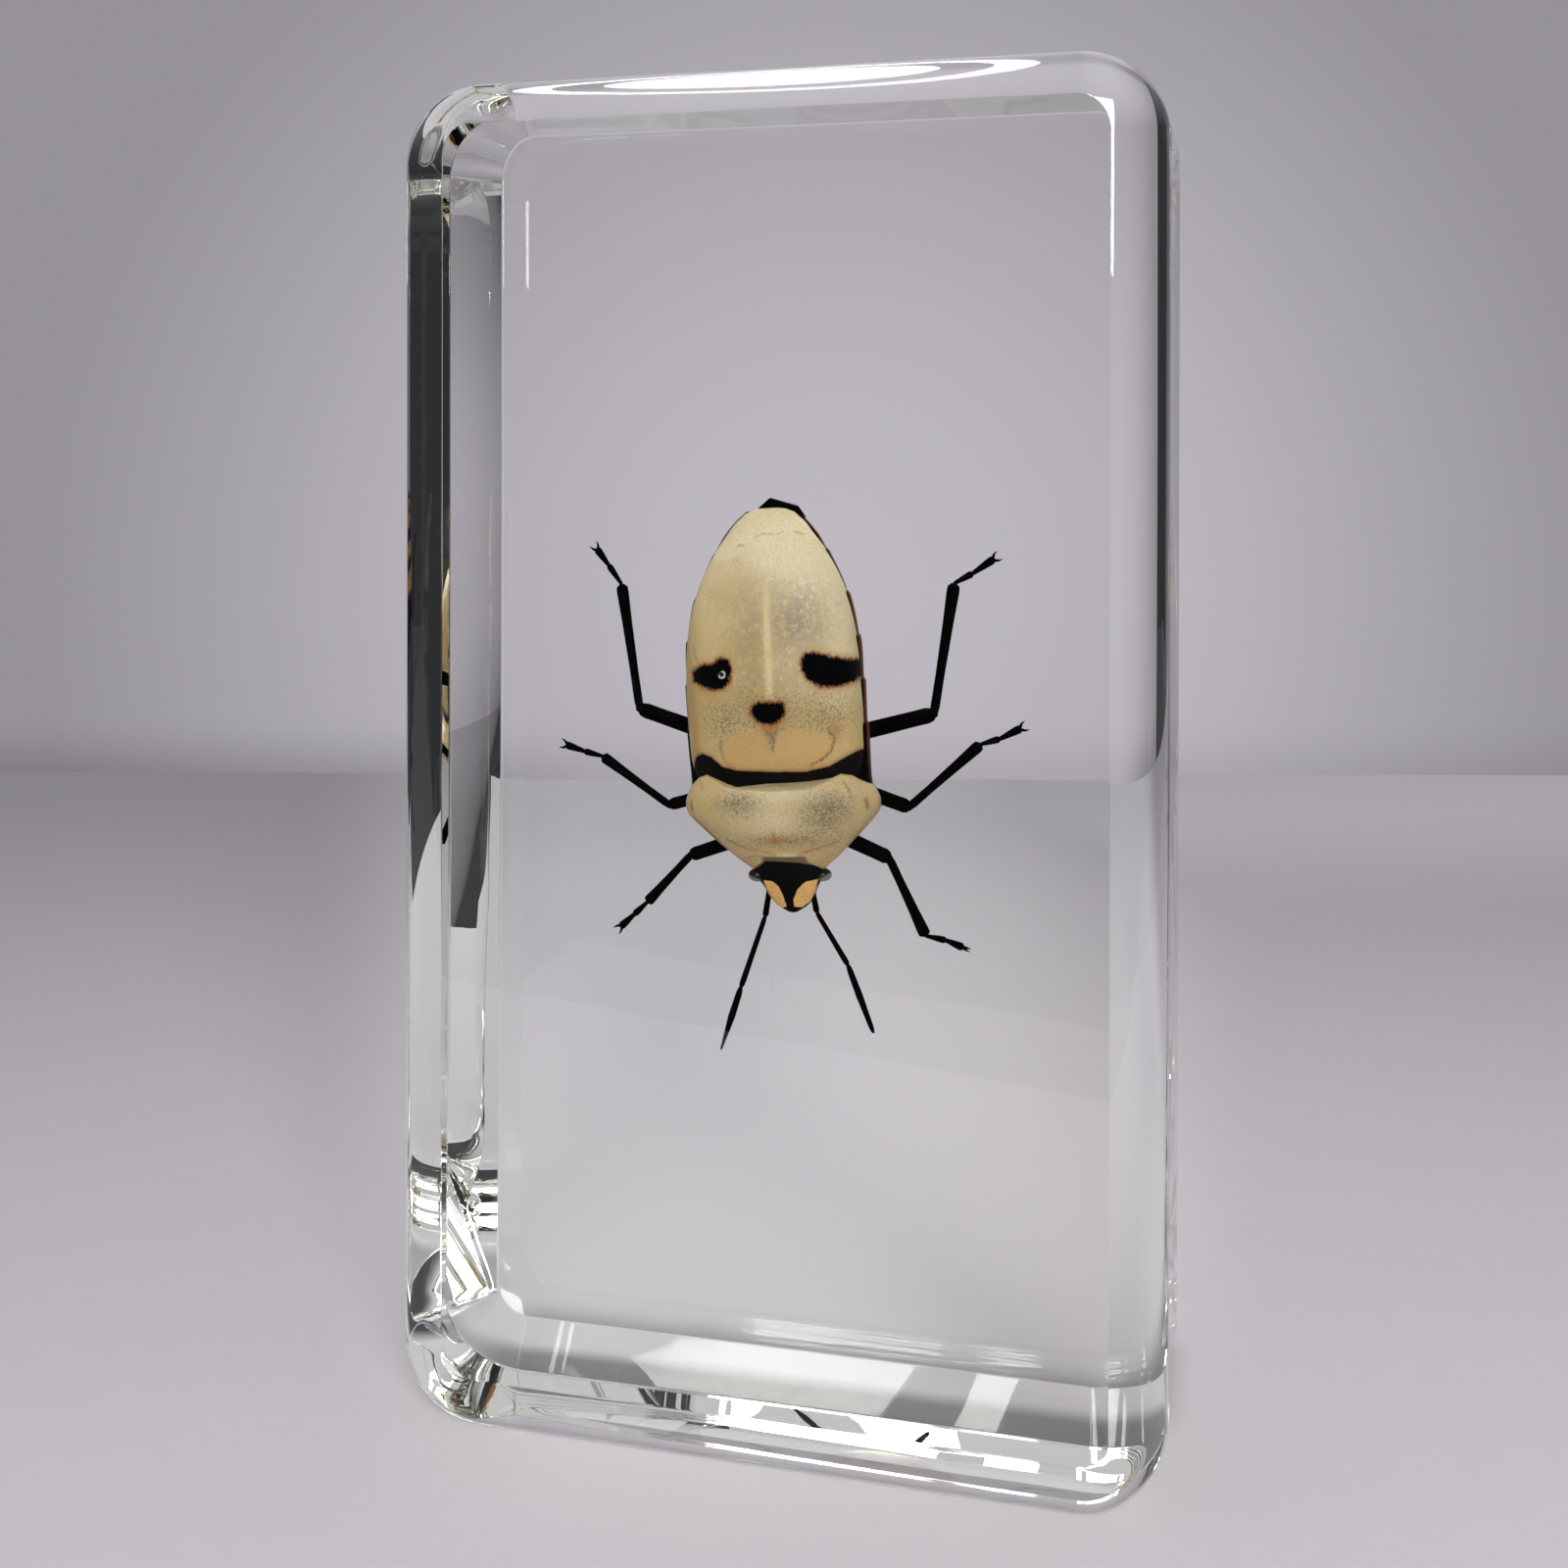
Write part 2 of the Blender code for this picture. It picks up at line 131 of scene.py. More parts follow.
# The rear and front margins of the shield and the collar: share of the half width, height.
SHIELD_REAR = [(0, 10.66)]
SHIELD_FRONT = [(0, -5.2)]
COLLAR_REAR = [(-1.0, -4.3), (-0.93, -3.78), (-0.84, -3.55), (-0.74, -3.7), (-0.52, -4.18), (-0.05, -4.4),
               (0.39, -4.33), (0.6, -3.95), (0.8, -3.64), (0.9, -3.78), (1.0, -4.4)]
COLLAR_FRONT = [(-1.0, -9.0), (-0.5, -8.5), (-0.4, -8.15), (0.4, -8.15), (0.5, -8.5), (1.0, -9.0)]
PLATE_COLUMNS = 240
PLATE_THICKNESS = 0.25
PLATE_FOOT = 0.2  # their undersides reach at least this far behind the bug's middle plane
PLATE_EDGE_REACH = 0.12  # over this width the margin turns down, by this much
PLATE_EDGE_DROP = 0.22

TAIL_OUTLINE = [(-1.4, 10.1), (-0.01, 11.19), (1.54, 10.67), (1.95, 10.0), (0.3, 9.2)]
TAIL_LEVELS = ((-0.215, 0.84), (-0.08, 0.95), (0.055, 1.0), (0.37, 1.0), (0.55, 0.8))  # depth, share
TAIL_SOFTNESS = 0.04
HEAD_TIP = 0.06  # how far the head's blunt end reaches past its first station
HEAD_TIP_SHARE = 0.5  # of that station's size
CHEEK_DEPTH = 0.15  # the cheeks are painted on what lies in front of this depth
BELLY_BANDS = ((5.2, 0.75), (7.35, 0.55), (9.25, 0.45), (10.4, 0.3))  # middle, half height
# The abdomen's rings: how far each stands out, how long each is, and where the first one starts.
RING_STEP = 0.1
RING_LENGTH = 2.35
RING_START = -3.4
EYE_OFFSET = (1.82, -0.05, -9.25)  # of the right eye's middle; the left one mirrors it
EYE_RADII = (0.52, 0.5, 0.36)
BEAK = [  # point, radius
    ((0, 0.42, -10.9), 0.16),
    ((0, 1.02, -9.6), 0.22),
    ((0, 1.72, -7.6), 0.17),
    ((0, 2.28, -5.2), 0.11),
]

# Each leg's thigh radius, shin radius and how far its claws spread, in degrees, then its hip,
# knee, ankle, sole and toe as (x, z).
LEGS = {
    "rear_left": (0.43, 0.3, 38, (-1.8, -2.8), (-8.2, -0.05), (-8.95, 6.85), (-9.7, 7.95), (-10.35, 8.9)),
    "middle_left": (
        0.34, 0.27, 40, (-2.0, -4.45), (-6.8, -5.42), (-10.65, -2.7), (-11.75, -2.42), (-12.85, -2.03),
    ),
    "front_left": (
        0.38, 0.26, 36, (-1.6, -7.1), (-5.72, -8.2), (-8.5, -10.85), (-9.35, -11.55), (-10.2, -12.25),
    ),
    "rear_right": (0.43, 0.3, 40, (1.5, -2.4), (8.3, -0.8), (9.75, 6.08), (10.75, 6.55), (11.95, 7.28)),
    "middle_right": (
        0.4, 0.27, 40, (1.7, -4.25), (6.66, -5.73), (10.66, -2.5), (11.66, -2.27), (12.85, -1.72),
    ),
    "front_right": (
        0.41, 0.29, 12, (1.3, -6.95), (5.4, -8.42), (7.08, -12.66), (8.15, -12.92), (9.05, -13.3),
    ),
}
LEG_DEPTHS = (2.65, 0.3, 0.8, 1.0, 1.0)  # of the five joints behind the bug's middle plane
ROOT_DEPTH = 1.5  # where each leg starts, inside the trunk
ROOT_RADIUS = 0.5
ROOT_SHARE = 0.75  # of the hip's distance from the midline
LEG_OVERLAP = 0.05
FOOT_RADIUS = 0.21
CLAW_LENGTH = 0.55
CLAW_RADII = (0.1, 0.065, 0.012)
CLAW_ROOT = 0.12  # how far inside the foot a claw starts
CLAW_BEND = 0.55  # the share of its length up to the bend
CLAW_HOOK = 0.35  # the share of its spread that is left past the bend

FEELERS = {
    "left": [(-1.2, -9.7), (-1.6, -11.5), (-3.2, -15.35), (-4.55, -18.8)],
    "right": [(1.05, -9.6), (1.3, -11.3), (2.85, -14.1), (4.05, -17.75)],
}
FEELER_RADII = (0.17, 0.16, 0.19)
FEELER_TIPS = {"left": 0.05, "right": 0.13}

# All that is painted on the shield lies this far to the right of the places in the lists below.
MARK_SHIFT = 0.16
# Where a tiny air pocket's bright rim is painted on the left spot, as a painted reflection.
BUBBLE_CENTRE = (-2.9, 1.86)
BUBBLE_RADIUS = 0.17
BUBBLE_RIM = 0.035
SPOT_RAGGEDNESS = 0.5
BAND_RAGGEDNESS = 0.12
# The black marks, each an outline of (x, z) points.
LEFT_SPOT = [(-4.72, 1.96), (-4.22, 2.3), (-3.4, 2.42), (-2.95, 2.72), (-2.5, 2.6), (-2.36, 2.1), (-2.5, 1.5),
             (-2.9, 1.14), (-3.4, 1.08), (-4.1, 1.27), (-4.6, 1.52)]
RIGHT_SPOT = [(1.56, 2.45), (1.72, 2.78), (2.2, 2.86), (3.1, 2.56), (4.1, 2.32), (4.62, 2.3), (4.68, 1.6),
              (4.1, 1.22), (3.3, 1.04), (2.5, 1.08), (1.85, 1.5), (1.6, 1.95)]
NOSE = [(-1.25, 0.1), (-0.92, 0.3), (0.43, 0.26), (0.5, -0.2), (0.3, -0.55), (-0.12, -0.78), (-0.78, -0.78),
        (-1.1, -0.5), (-1.32, -0.2)]
BAND = [(-6.5, -3.9), (-5.2, -3.4), (-4.85, -2.62), (-4.4, -2.4), (-3.87, -2.55), (-3.2, -3.1), (-2.4, -3.3),
        (-0.48, -3.39), (1.4, -3.43), (2.64, -3.2), (3.6, -2.72), (4.2, -2.45), (4.7, -2.5), (5.1, -3.1),
        (6.5, -3.6), (6.5, -6), (-6.5, -6)]
# Two rounded plates of a warmer colour at the shield's base.
LEFT_PLATE = [(-3.15, -2.2), (-2.9, -1.65), (-2.0, -1.2), (-0.9, -1.0), (-0.5, -1.5), (-0.35, -2.6),
              (-0.5, -3.6), (-2.4, -3.6), (-3.1, -3.1)]
RIGHT_PLATE = [(-0.25, -3.6), (-0.3, -2.6), (0.1, -1.3), (0.9, -1.15), (2.2, -1.55), (2.95, -2.0),
               (2.7, -2.9), (1.9, -3.6)]
# Thin brown lines: strength, width, points.
SHIELD_LINES = [
    (0.55, 0.09, [(-3.2, -1.7), (-3.22, -2.2), (-3.05, -2.8), (-2.6, -3.2)]),
    (0.8, 0.09, [(2.75, -1.2), (3.05, -1.75), (2.85, -2.35), (2.3, -2.85), (1.7, -3.1)]),
    (0.5, 0.06, [(-0.3, -0.9), (-0.36, -1.3), (-0.2, -1.7), (-0.32, -2.4)]),
    (0.5, 0.06, [(-0.75, -1.0), (-0.5, -1.35), (-0.36, -1.5)]),
    (0.5, 0.06, [(0.1, -1.0), (-0.1, -1.3), (-0.3, -1.5)]),
    (0.4, 0.06, [(-1.9, 8.6), (-1.75, 8.75), (-1.5, 8.7)]),
    (0.35, 0.06, [(-0.9, 9.1), (-0.4, 9.3), (0.2, 9.2), (0.7, 9.3)]),
    (0.4, 0.06, [(1.3, 9.3), (1.75, 9.15)]),
    (0.35, 0.07, [(2.4, 9.2), (2.85, 8.8), (3.1, 8.2)]),
    (0.45, 0.07, [(-4.6, 3.3), (-4.5, 2.8), (-4.35, 2.55)]),
]
# Soft patches on the shield, each a weight, a middle and radii.
SHIELD_STAINS = [
    (1, (-0.2, -0.98), (0.22, 0.12)),
    (1, (-3.9, 1.05), (0.5, 0.14)),
    (1, (-0.4, -1.1), (0.5, 0.3)),
    (1, (3.1, -1.3), (0.3, 0.5)),
    (1, (3.0, 1.0), (1.0, 0.15)),
    (1, (-4.8, -1.0), (0.25, 3.0)),
    (1, (5.0, 0.5), (0.2, 4.0)),
]
NOSE_RING = [(1, (-0.3, -0.4), (2.5, 1.2))]
STREAK = [(1, (-0.3, -1.55), (0.3, 0.9))]
RIGHT_CLOUD = [(1, (1.4, 4.5), (1.7, 2.2))]
SHIELD_STIPPLE = [
    (0.7, (-3.2, -1.0), (1.2, 1.6)),
    (0.7, (3.1, -0.7), (1.4, 1.7)),
    (0.55, (1.6, 4.6), (1.7, 2.2)),
    (0.3, (-1.7, 3.6), (1.4, 2.6)),
]
SHIELD_GREY = [(0.6, (-1.4, 4.0), (1.1, 2.8)), (0.35, (0, 1.4), (3.4, 1.0))]
# Painted highlight: soft pale patches at the shield's top and sides, mostly the right, where the light falls;
# each a weight, a middle and radii.
SHIELD_PAINTED_HIGHLIGHT = [
    (0.9, (2.2, 7.2), (2.2, 2.6)),
    (0.81, (-0.5, 8.2), (2.6, 1.6)),
    (0.675, (3.6, 3.4), (1.2, 3.6)),
    (0.27, (-3.4, 4.5), (1.0, 3.5)),
]
MEMBRANE_EDGE = [(-2.6, 8.1), (-1.28, 8.6), (0.37, 9.15), (2.78, 8.9)]  # where the soft end starts
COLLAR_LINES = [
    (0.85, 0.1, [(-5.12, -5.05), (-5.08, -5.5)]),
    (0.85, 0.11, [(4.62, -5.05), (4.68, -5.5)]),
    (0.5, 0.07, [(-4.5, -3.9), (-4.35, -4.3)]),
    (0.6, 0.08, [(3.55, -4.1), (3.8, -4.5), (3.9, -5.0)]),
    (0.5, 0.08, [(-3.2, -7.1), (-2.2, -7.55), (-1.2, -7.75), (-0.5, -8.0)]),
    (0.5, 0.08, [(2.9, -7.3), (2.0, -7.6), (1.2, -7.8), (0.7, -8.0)]),
    (0.4, 0.07, [(-2.3, -8.2), (-1.6, -8.0), (-0.9, -8.15)]),
    (0.5, 0.06, [(-0.75, -8.1), (-0.45, -8.2)]),
    (0.5, 0.06, [(0.55, -8.1), (0.85, -8.25)]),
]

# Soft patches on the collar, as on the shield, one of them tilted.
COLLAR_LEFT = [(1, (-2.3, -5.1), (1.3, 0.75))]
COLLAR_RIGHT = [(1, (2.6, -5.5), (1.6, 1.1), 20)]
COLLAR_FORE = [(1, (-0.2, -7.15), (3.2, 0.45))]
COLLAR_PALE = [
    (1, (-0.05, -8.02), (0.85, 0.13)),
    (0.55, (-0.3, -6.0), (2.2, 0.9)),
    (0.55, (0.0, -4.6), (3.6, 0.5)),
]
COLLAR_MARK = [(0.95, (-0.43, -6.95), (0.1, 0.32)), (0.95, (-0.35, -7.15), (0.55, 0.13))]

# The cheeks on the head.
LEFT_CHEEK = [(-1.5, -9.46), (-1.36, -10.1), (-1.16, -10.6), (-0.6, -11.06), (-0.3, -10.92), (-0.42, -10.35),
              (-0.62, -9.8), (-0.95, -9.5)]
RIGHT_CHEEK = [(1.56, -9.42), (1.32, -10.2), (1.0, -10.7), (0.55, -10.98), (0.1, -10.95), (0.12, -10.5),
               (0.4, -9.95), (0.85, -9.55)]


# ---------- curves and meshes
def eased(stations, heights):
    """The stations' values at each height, on smooth curves through them."""
    table = np.array(stations, dtype=float)
    knots, values = table[:, 0], table[:, 1:]
    slopes = np.gradient(values, knots, axis=0)
    heights = np.clip(np.asarray(heights, dtype=float), knots[0], knots[-1])
    i = np.clip(np.searchsorted(knots, heights, side="right") - 1, 0, len(knots) - 2)
    span = (knots[i + 1] - knots[i])[..., None]
    t = (heights - knots[i])[..., None] / span
    rise = values[i + 1] - values[i]
    bend = (3 * rise - span * (2 * slopes[i] + slopes[i + 1])) * t**2
    twist = (span * (slopes[i] + slopes[i + 1]) - 2 * rise) * t**3
    result = values[i] + span * slopes[i] * t + bend + twist
    return [result[..., k] for k in range(values.shape[1])]


def spine(height):
    """How far the bug's midline lies to the side at this height."""
    return -SPINE_BOW * np.maximum(0, 1 - (height / SPINE_REACH) ** 2)


def signed_power(value, power):
    return np.sign(value) * np.abs(value) ** power


def unit(values):
    """The values, held between nought and one."""
    return np.clip(values, 0, 1)


def grid_mesh(name, points, closed=False, caps=False):
    """A mesh of quads over a grid of points in millimetres. Closed joins each row into a ring."""
    rows, columns, _ = points.shape
    index = np.arange(rows * columns).reshape(rows, columns)
    following = np.roll(index, -1, axis=1) if closed else index[:, 1:]
    current = index if closed else index[:, :-1]
    quads = np.stack([current[:-1], following[:-1], following[1:], current[1:]], axis=-1).reshape(-1, 4)
    faces = quads.tolist()
    if caps:
        faces += [index[0, ::-1].tolist(), index[-1].tolist()]
    mesh = bpy.data.meshes.new(name)
    mesh.from_pydata((points.reshape(-1, 3) * MM).tolist(), [], faces)
    mesh.update()
    return mesh


def closed_mesh(name, rings):
    """A smooth closed mesh over rings of points in millimetres, with its faces looking outward."""
    mesh = grid_mesh(name, rings, closed=True, caps=True)
    shape = bmesh.new()
    shape.from_mesh(mesh)
    bmesh.ops.recalc_face_normals(shape, faces=shape.faces)
    shape.to_mesh(mesh)
    shape.free()
    mesh.shade_smooth()
    return mesh


def from_shape(name, shape):
    """A smooth mesh made from a shape, which is then freed."""
    mesh = bpy.data.meshes.new(name)
    shape.to_mesh(mesh)
    shape.free()
    mesh.shade_smooth()
    return mesh


def paint(mesh, **layers):
    """Stores a number at each vertex, under a name that a material can read."""
    for name, values in layers.items():
        layer = mesh.attributes.new(name, "FLOAT", "POINT")
        spread = np.broadcast_to(np.ravel(values), len(mesh.vertices))
        layer.data.foreach_set("value", spread.astype(np.float32))


def joined(name, meshes):
    """One mesh out of several."""
    shape = bmesh.new()
    for mesh in meshes:
        shape.from_mesh(mesh)
        bpy.data.meshes.remove(mesh)
    return from_shape(name, shape)


def place(name, mesh, made_of):
    mesh.materials.append(made_of)
    added = bpy.data.objects.new(name, mesh)
    bpy.context.scene.collection.objects.link(added)
    return added


def bug_piece(name, mesh, made_of):
    """A piece of the bug, set in the block."""
    piece = place(name, mesh, made_of)
    piece.location = BUG_CENTRE
    piece.rotation_euler = (0, BUG_LEAN, 0)
    piece.scale = (BUG_SIZE,) * 3
    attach(piece, "root")
    return piece


def distance_to_edge(x, z, start, end):
    """How far each point lies from a straight edge, in millimetres."""
    edge_x, edge_z = end[0] - start[0], end[1] - start[1]
    along = unit(((x - start[0]) * edge_x + (z - start[1]) * edge_z) / (edge_x**2 + edge_z**2))
    return np.hypot(x - start[0] - along * edge_x, z - start[1] - along * edge_z)


def depth_inside(x, z, outline):
    """How far each point lies inside an outline, in millimetres, and less than zero outside."""
    nearest = np.full(x.shape, np.inf)
    inside = np.zeros(x.shape, dtype=bool)
    for (x0, z0), (x1, z1) in zip(outline, outline[1:] + outline[:1]):
        nearest = np.minimum(nearest, distance_to_edge(x, z, (x0, z0), (x1, z1)))
        crosses = (z0 > z) != (z1 > z)
        cut = x0 + (z - z0) * (x1 - x0) / (z1 - z0 or np.inf)
        inside ^= crosses & (x < cut)
    return np.where(inside, nearest, -nearest)


def distance_to_line(x, z, line):
    """How far each point lies from a line of joined points, in millimetres."""
    return np.min([distance_to_edge(x, z, start, end) for start, end in zip(line, line[1:])], axis=0)


def blob(x, z, centre, radii, tilt=0.0):
    """A soft oval patch: one at its middle and none past about twice its radii."""
    turn = math.radians(tilt)
    across = (x - centre[0]) * math.cos(turn) + (z - centre[1]) * math.sin(turn)
    along = (z - centre[1]) * math.cos(turn) - (x - centre[0]) * math.sin(turn)
    return np.exp(-((across / radii[0]) ** 2) - (along / radii[1]) ** 2)


def patches(x, z, drawn):
    """Soft oval patches added up, each a weight, a middle, radii and sometimes a tilt in degrees."""
    return sum(weight * blob(x, z, *shape) for weight, *shape in drawn)


def stripe(x, width):
    return np.exp(-((x / width) ** 2))


def lines(x, z, drawn):
    """Thin lines, each a (strength, width, points): the strength at every point near one."""
    strength = np.zeros(x.shape)
    for top, width, points in drawn:
        strength = np.maximum(strength, top * stripe(distance_to_line(x, z, points), width))
    return strength


# ---------- material helpers
class Look:
    """A material's nodes, with a short call for each kind used here."""

    def __init__(self, name, **settings):
        self.material = bpy.data.materials.new(name)
        self.material.use_nodes = True
        self.tree = self.material.node_tree
        self.shader = self.tree.nodes["Principled BSDF"]
        self.output = self.tree.nodes["Material Output"]
        for socket, value in settings.items():
            self.set(socket.replace("_", " "), value)

    def feed(self, socket, value):
        """Links another node's output to a socket, or sets its own value."""
        if isinstance(value, bpy.types.NodeSocket):
            self.tree.links.new(value, socket)
        elif socket.type == "RGBA":
            socket.default_value = (*value, 1)
        else:
            socket.default_value = value

    def set(self, socket, value):
        self.feed(self.shader.inputs[socket], value)

    def node(self, kind, inputs, **properties):
        made = self.tree.nodes.new(kind)
        for key, value in properties.items():
            setattr(made, key, value)
        for key, value in inputs.items():
            self.feed(made.inputs[key], value)
        return made

    def math(self, operation, first, second=0.0):
        return self.node("ShaderNodeMath", {0: first, 1: second}, operation=operation).outputs[0]

    def plus(self, first, *others):
        for other in others:
            first = self.math("ADD", first, other)
        return first

    def minus(self, first, second):
        return self.math("SUBTRACT", first, second)

    def times(self, first, *others):
        for other in others:
            first = self.math("MULTIPLY", first, other)
        return first

    def step(self, value, low, high, top=1.0):
        """Rises smoothly from nought at low to top at high."""
        inputs = {"Value": value, "From Min": low, "From Max": high, "To Max": top}
        return self.node("ShaderNodeMapRange", inputs, interpolation_type="SMOOTHSTEP").outputs["Result"]

    def fade(self, value, low, high, top=1.0):
        """Falls smoothly from one at low, by as much as top at high."""
        return self.minus(1.0, self.step(value, low, high, top))

    def mix(self, share, first, second):
        """A colour between two others."""
        return self.node("ShaderNodeMix", {0: share, 6: first, 7: second}, data_type="RGBA").outputs[2]

    def painted(self, name):
        return self.node("ShaderNodeAttribute", {}, attribute_name=name).outputs["Fac"]

    def where(self, stretch=(1, 1, 1), turn=(0, 0, 0)):
        """The piece's own coordinates in millimetres, stretched and turned."""
        own = self.node("ShaderNodeTexCoord", {}).outputs["Object"]
        inputs = {"Vector": own, "Rotation": turn, "Scale": [share / MM for share in stretch]}
        return self.node("ShaderNodeMapping", inputs).outputs["Vector"]

    def axes(self, where):
        return tuple(self.node("ShaderNodeSeparateXYZ", {0: where}).outputs)

    def noise(self, where, size, detail=3.0, roughness=0.55, warp=0.0):
        """Noise whose features are about this many millimetres across."""
        inputs = {"Vector": where, "Scale": 1 / size, "Detail": detail}
        inputs |= {"Roughness": roughness, "Distortion": warp}
        return self.node("ShaderNodeTexNoise", inputs).outputs["Fac"]

    def pits(self, where, size, randomness=1.0):
        """Cells about this many millimetres across: the way to each one's middle, and its own number."""
        inputs = {"Vector": where, "Scale": 1 / size, "Randomness": randomness}
        cells = self.node("ShaderNodeTexVoronoi", inputs).outputs
        return cells["Distance"], self.node("ShaderNodeSeparateColor", {0: cells["Color"]}).outputs["Red"]

    def bump(self, height, distance):
        """Relief of up to this many millimetres."""
        inputs = {"Height": height, "Strength": 1.0, "Distance": distance * MM}
        return self.node("ShaderNodeBump", inputs).outputs["Normal"]


# ---------- materials
INK = (0.0006, 0.0005, 0.0005)
INK_BROWN = (0.004, 0.0028, 0.0022)
BAND_BROWN = (0.0062, 0.0050, 0.0036)
FRINGE = (0.20, 0.065, 0.014)
STAIN = (0.55, 0.26, 0.06)
CREAM = (0.72, 0.515, 0.195)
CREAM_PALE = (1.0, 0.88, 0.57)
CREAM_GREY = (0.38, 0.305, 0.175)
LAVENDER = (0.35, 0.285, 0.21)
PEACH = (0.74, 0.475, 0.175)
STIPPLE = (0.11, 0.095, 0.07)
CHEEK = (0.95, 0.56, 0.20)
EYE_GREY = (0.30, 0.28, 0.27)
RIM_BROWN = (0.20, 0.06, 0.015)
BELLY = (0.50, 0.24, 0.08)


def resin_look():
    look = Look("clear_resin", Roughness=0.0, IOR=RESIN_IOR, Transmission_Weight=1.0)
    look.set("Base Color", (1.0, 1.0, 1.0))
    wave = look.noise(look.where(), RESIN_WAVE_LENGTH, detail=1.0)
    look.set("Normal", look.bump(wave, RESIN_WAVE_RISE))
    inside = look.node("ShaderNodeVolumeAbsorption", {"Color": RESIN_TINT, "Density": RESIN_DENSITY})
    look.feed(look.output.inputs["Volume"], inside.outputs["Volume"])
    return look.material


def shell_look():
    """The cream shell: punctured, with black marks that have a ragged brown fringe."""
    look = Look("cream_shell", Specular_IOR_Level=0.4)
    where = look.where()
    fine = look.noise(where, 0.13, detail=4.0, roughness=0.65)
    grainy = look.noise(where, 0.32, detail=3.0, roughness=0.6)
    colour = cream(look, where, fine, grainy)
    # Small dark dashes, denser where the stipple is painted.
    dashes = look.noise(look.where(stretch=(1.0, 1.0, 1.7)), 0.105, detail=1.5, warp=0.9)
    bar = look.minus(0.72, look.times(look.painted("stipple"), 0.24))
    dash = look.step(look.minus(dashes, bar), 0.0, 0.07)
    colour = look.mix(look.times(dash, 0.65), colour, STIPPLE)
    # Orange stains and thin brown lines.
    colour = look.mix(look.painted("stain"), colour, STAIN)
    colour = look.mix(look.times(look.painted("crease"), look.step(fine, 0.25, 0.6)), colour, FRINGE)
    # The marks: a ragged edge from fine noise on the distance to the outline.
    ragged = look.noise(look.where(stretch=(1.4, 1.0, 0.8)), 0.19, detail=4.0, roughness=0.7)
    edge = look.plus(look.painted("ink"), look.times(look.minus(ragged, 0.5), look.painted("ragged")))
    glow = look.times(look.step(edge, -0.5, -0.08), look.painted("fringed"))
    colour = look.mix(look.times(glow, 0.45), colour, STAIN)
    fringe = look.times(look.step(edge, -0.2, -0.02), look.painted("fringed"))
    colour = look.mix(fringe, colour, FRINGE)
    ink = look.mix(look.painted("banded"), look.mix(look.step(fine, 0.5, 0.75), INK, INK_BROWN), BAND_BROWN)
    inked = look.step(edge, -0.04, 0.05)
    colour = look.mix(inked, colour, ink)
    # Painted reflection: a tiny air pocket's bright rim, painted white.
    look.set("Base Color", look.mix(look.painted("bubble"), colour, (1.0, 1.0, 1.0)))
    look.set("Specular Tint", look.mix(inked, (1.0, 1.0, 1.0), (0.015, 0.015, 0.015)))
    look.set("Roughness", look.plus(look.times(fine, 0.2), look.times(inked, 0.35), 0.26))
    wrinkle = look.noise(look.where(stretch=(0.5, 1.0, 1.6)), 0.3, detail=4.0, warp=0.6)
    folds = look.times(look.painted("wrinkled"), wrinkle, 3.5)
    height = look.plus(look.times(dash, -0.6), folds, look.times(fine, 0.6))
    look.set("Normal", look.bump(height, 0.022))
    return look.material


def cream(look, where, fine, grainy):
    """The shell's colour, from yellow cream to near white, grey and peach; on the shield part of the near
    white is a painted highlight.
    """
    broad = look.noise(where, 2.6, detail=3.0)
    colour = look.mix(look.step(broad, 0.35, 0.7, top=0.4), CREAM, CREAM_PALE)
    colour = look.mix(look.painted("peach"), colour, PEACH)
    # Paler where pale is painted: the shell's own pale parts, and on the shield a painted highlight too.
    colour = look.mix(look.painted("pale"), colour, CREAM_PALE)
    dulled = look.times(look.painted("grey"), look.step(grainy, 0.2, 0.6))
    colour = look.mix(dulled, colour, look.mix(look.painted("lavender"), CREAM_GREY, LAVENDER))
    return look.mix(look.step(fine, 0.35, 0.75, top=0.3), colour, CREAM_GREY)


def head_look():
    look = Look("head_shell", Roughness=0.35, Specular_IOR_Level=0.08)
    where = look.where()
    ragged = look.noise(where, 0.16, detail=3.0)
    edge = look.plus(look.painted("cheek"), look.times(look.minus(ragged, 0.5), 0.07))
    distance, number = look.pits(where, 0.21)
    dots = look.times(look.step(distance, 0.24, 0.12), look.step(number, 0.62, 0.7))
    cheek = look.mix(look.times(dots, 0.65), CHEEK, FRINGE)
    cheek = look.mix(look.step(look.noise(where, 0.5), 0.4, 0.7, top=0.5), cheek, PEACH)
    look.set("Base Color", look.mix(look.step(edge, -0.02, 0.04), INK, cheek))
    look.set("Normal", look.bump(look.noise(where, 0.12, detail=4.0), 0.012))
    return look.material


def black_look():
    """The black cuticle of the legs, the feelers and the tail, finely grained."""
    look = Look("black_cuticle", Roughness=0.35, Specular_IOR_Level=0.003)
    where = look.where()
    grain = look.noise(where, 0.11, detail=4.0, roughness=0.6)
    broad = look.noise(where, 1.1)
    look.set("Base Color", look.mix(look.step(broad, 0.45, 0.75), INK, INK_BROWN))
    look.set("Roughness", look.plus(look.times(grain, 0.25), 0.22))
    look.set("Normal", look.bump(grain, 0.015))
    return look.material


def trunk_look():
    """The body's sides and belly: near black, with a thin red-brown rim."""
    look = Look("trunk_cuticle", Roughness=0.38, Specular_IOR_Level=0.01)
    where = look.where()
    grain = look.noise(where, 0.14, detail=4.0)
    base = look.mix(look.step(look.noise(where, 1.4), 0.4, 0.7), INK, INK_BROWN)
    base = look.mix(look.painted("rim"), base, RIM_BROWN)
    belly = look.mix(look.step(grain, 0.4, 0.8), BELLY, FRINGE)
    look.set("Base Color", look.mix(look.painted("belly"), base, belly))
    look.set("Normal", look.bump(grain, 0.02))
    return look.material


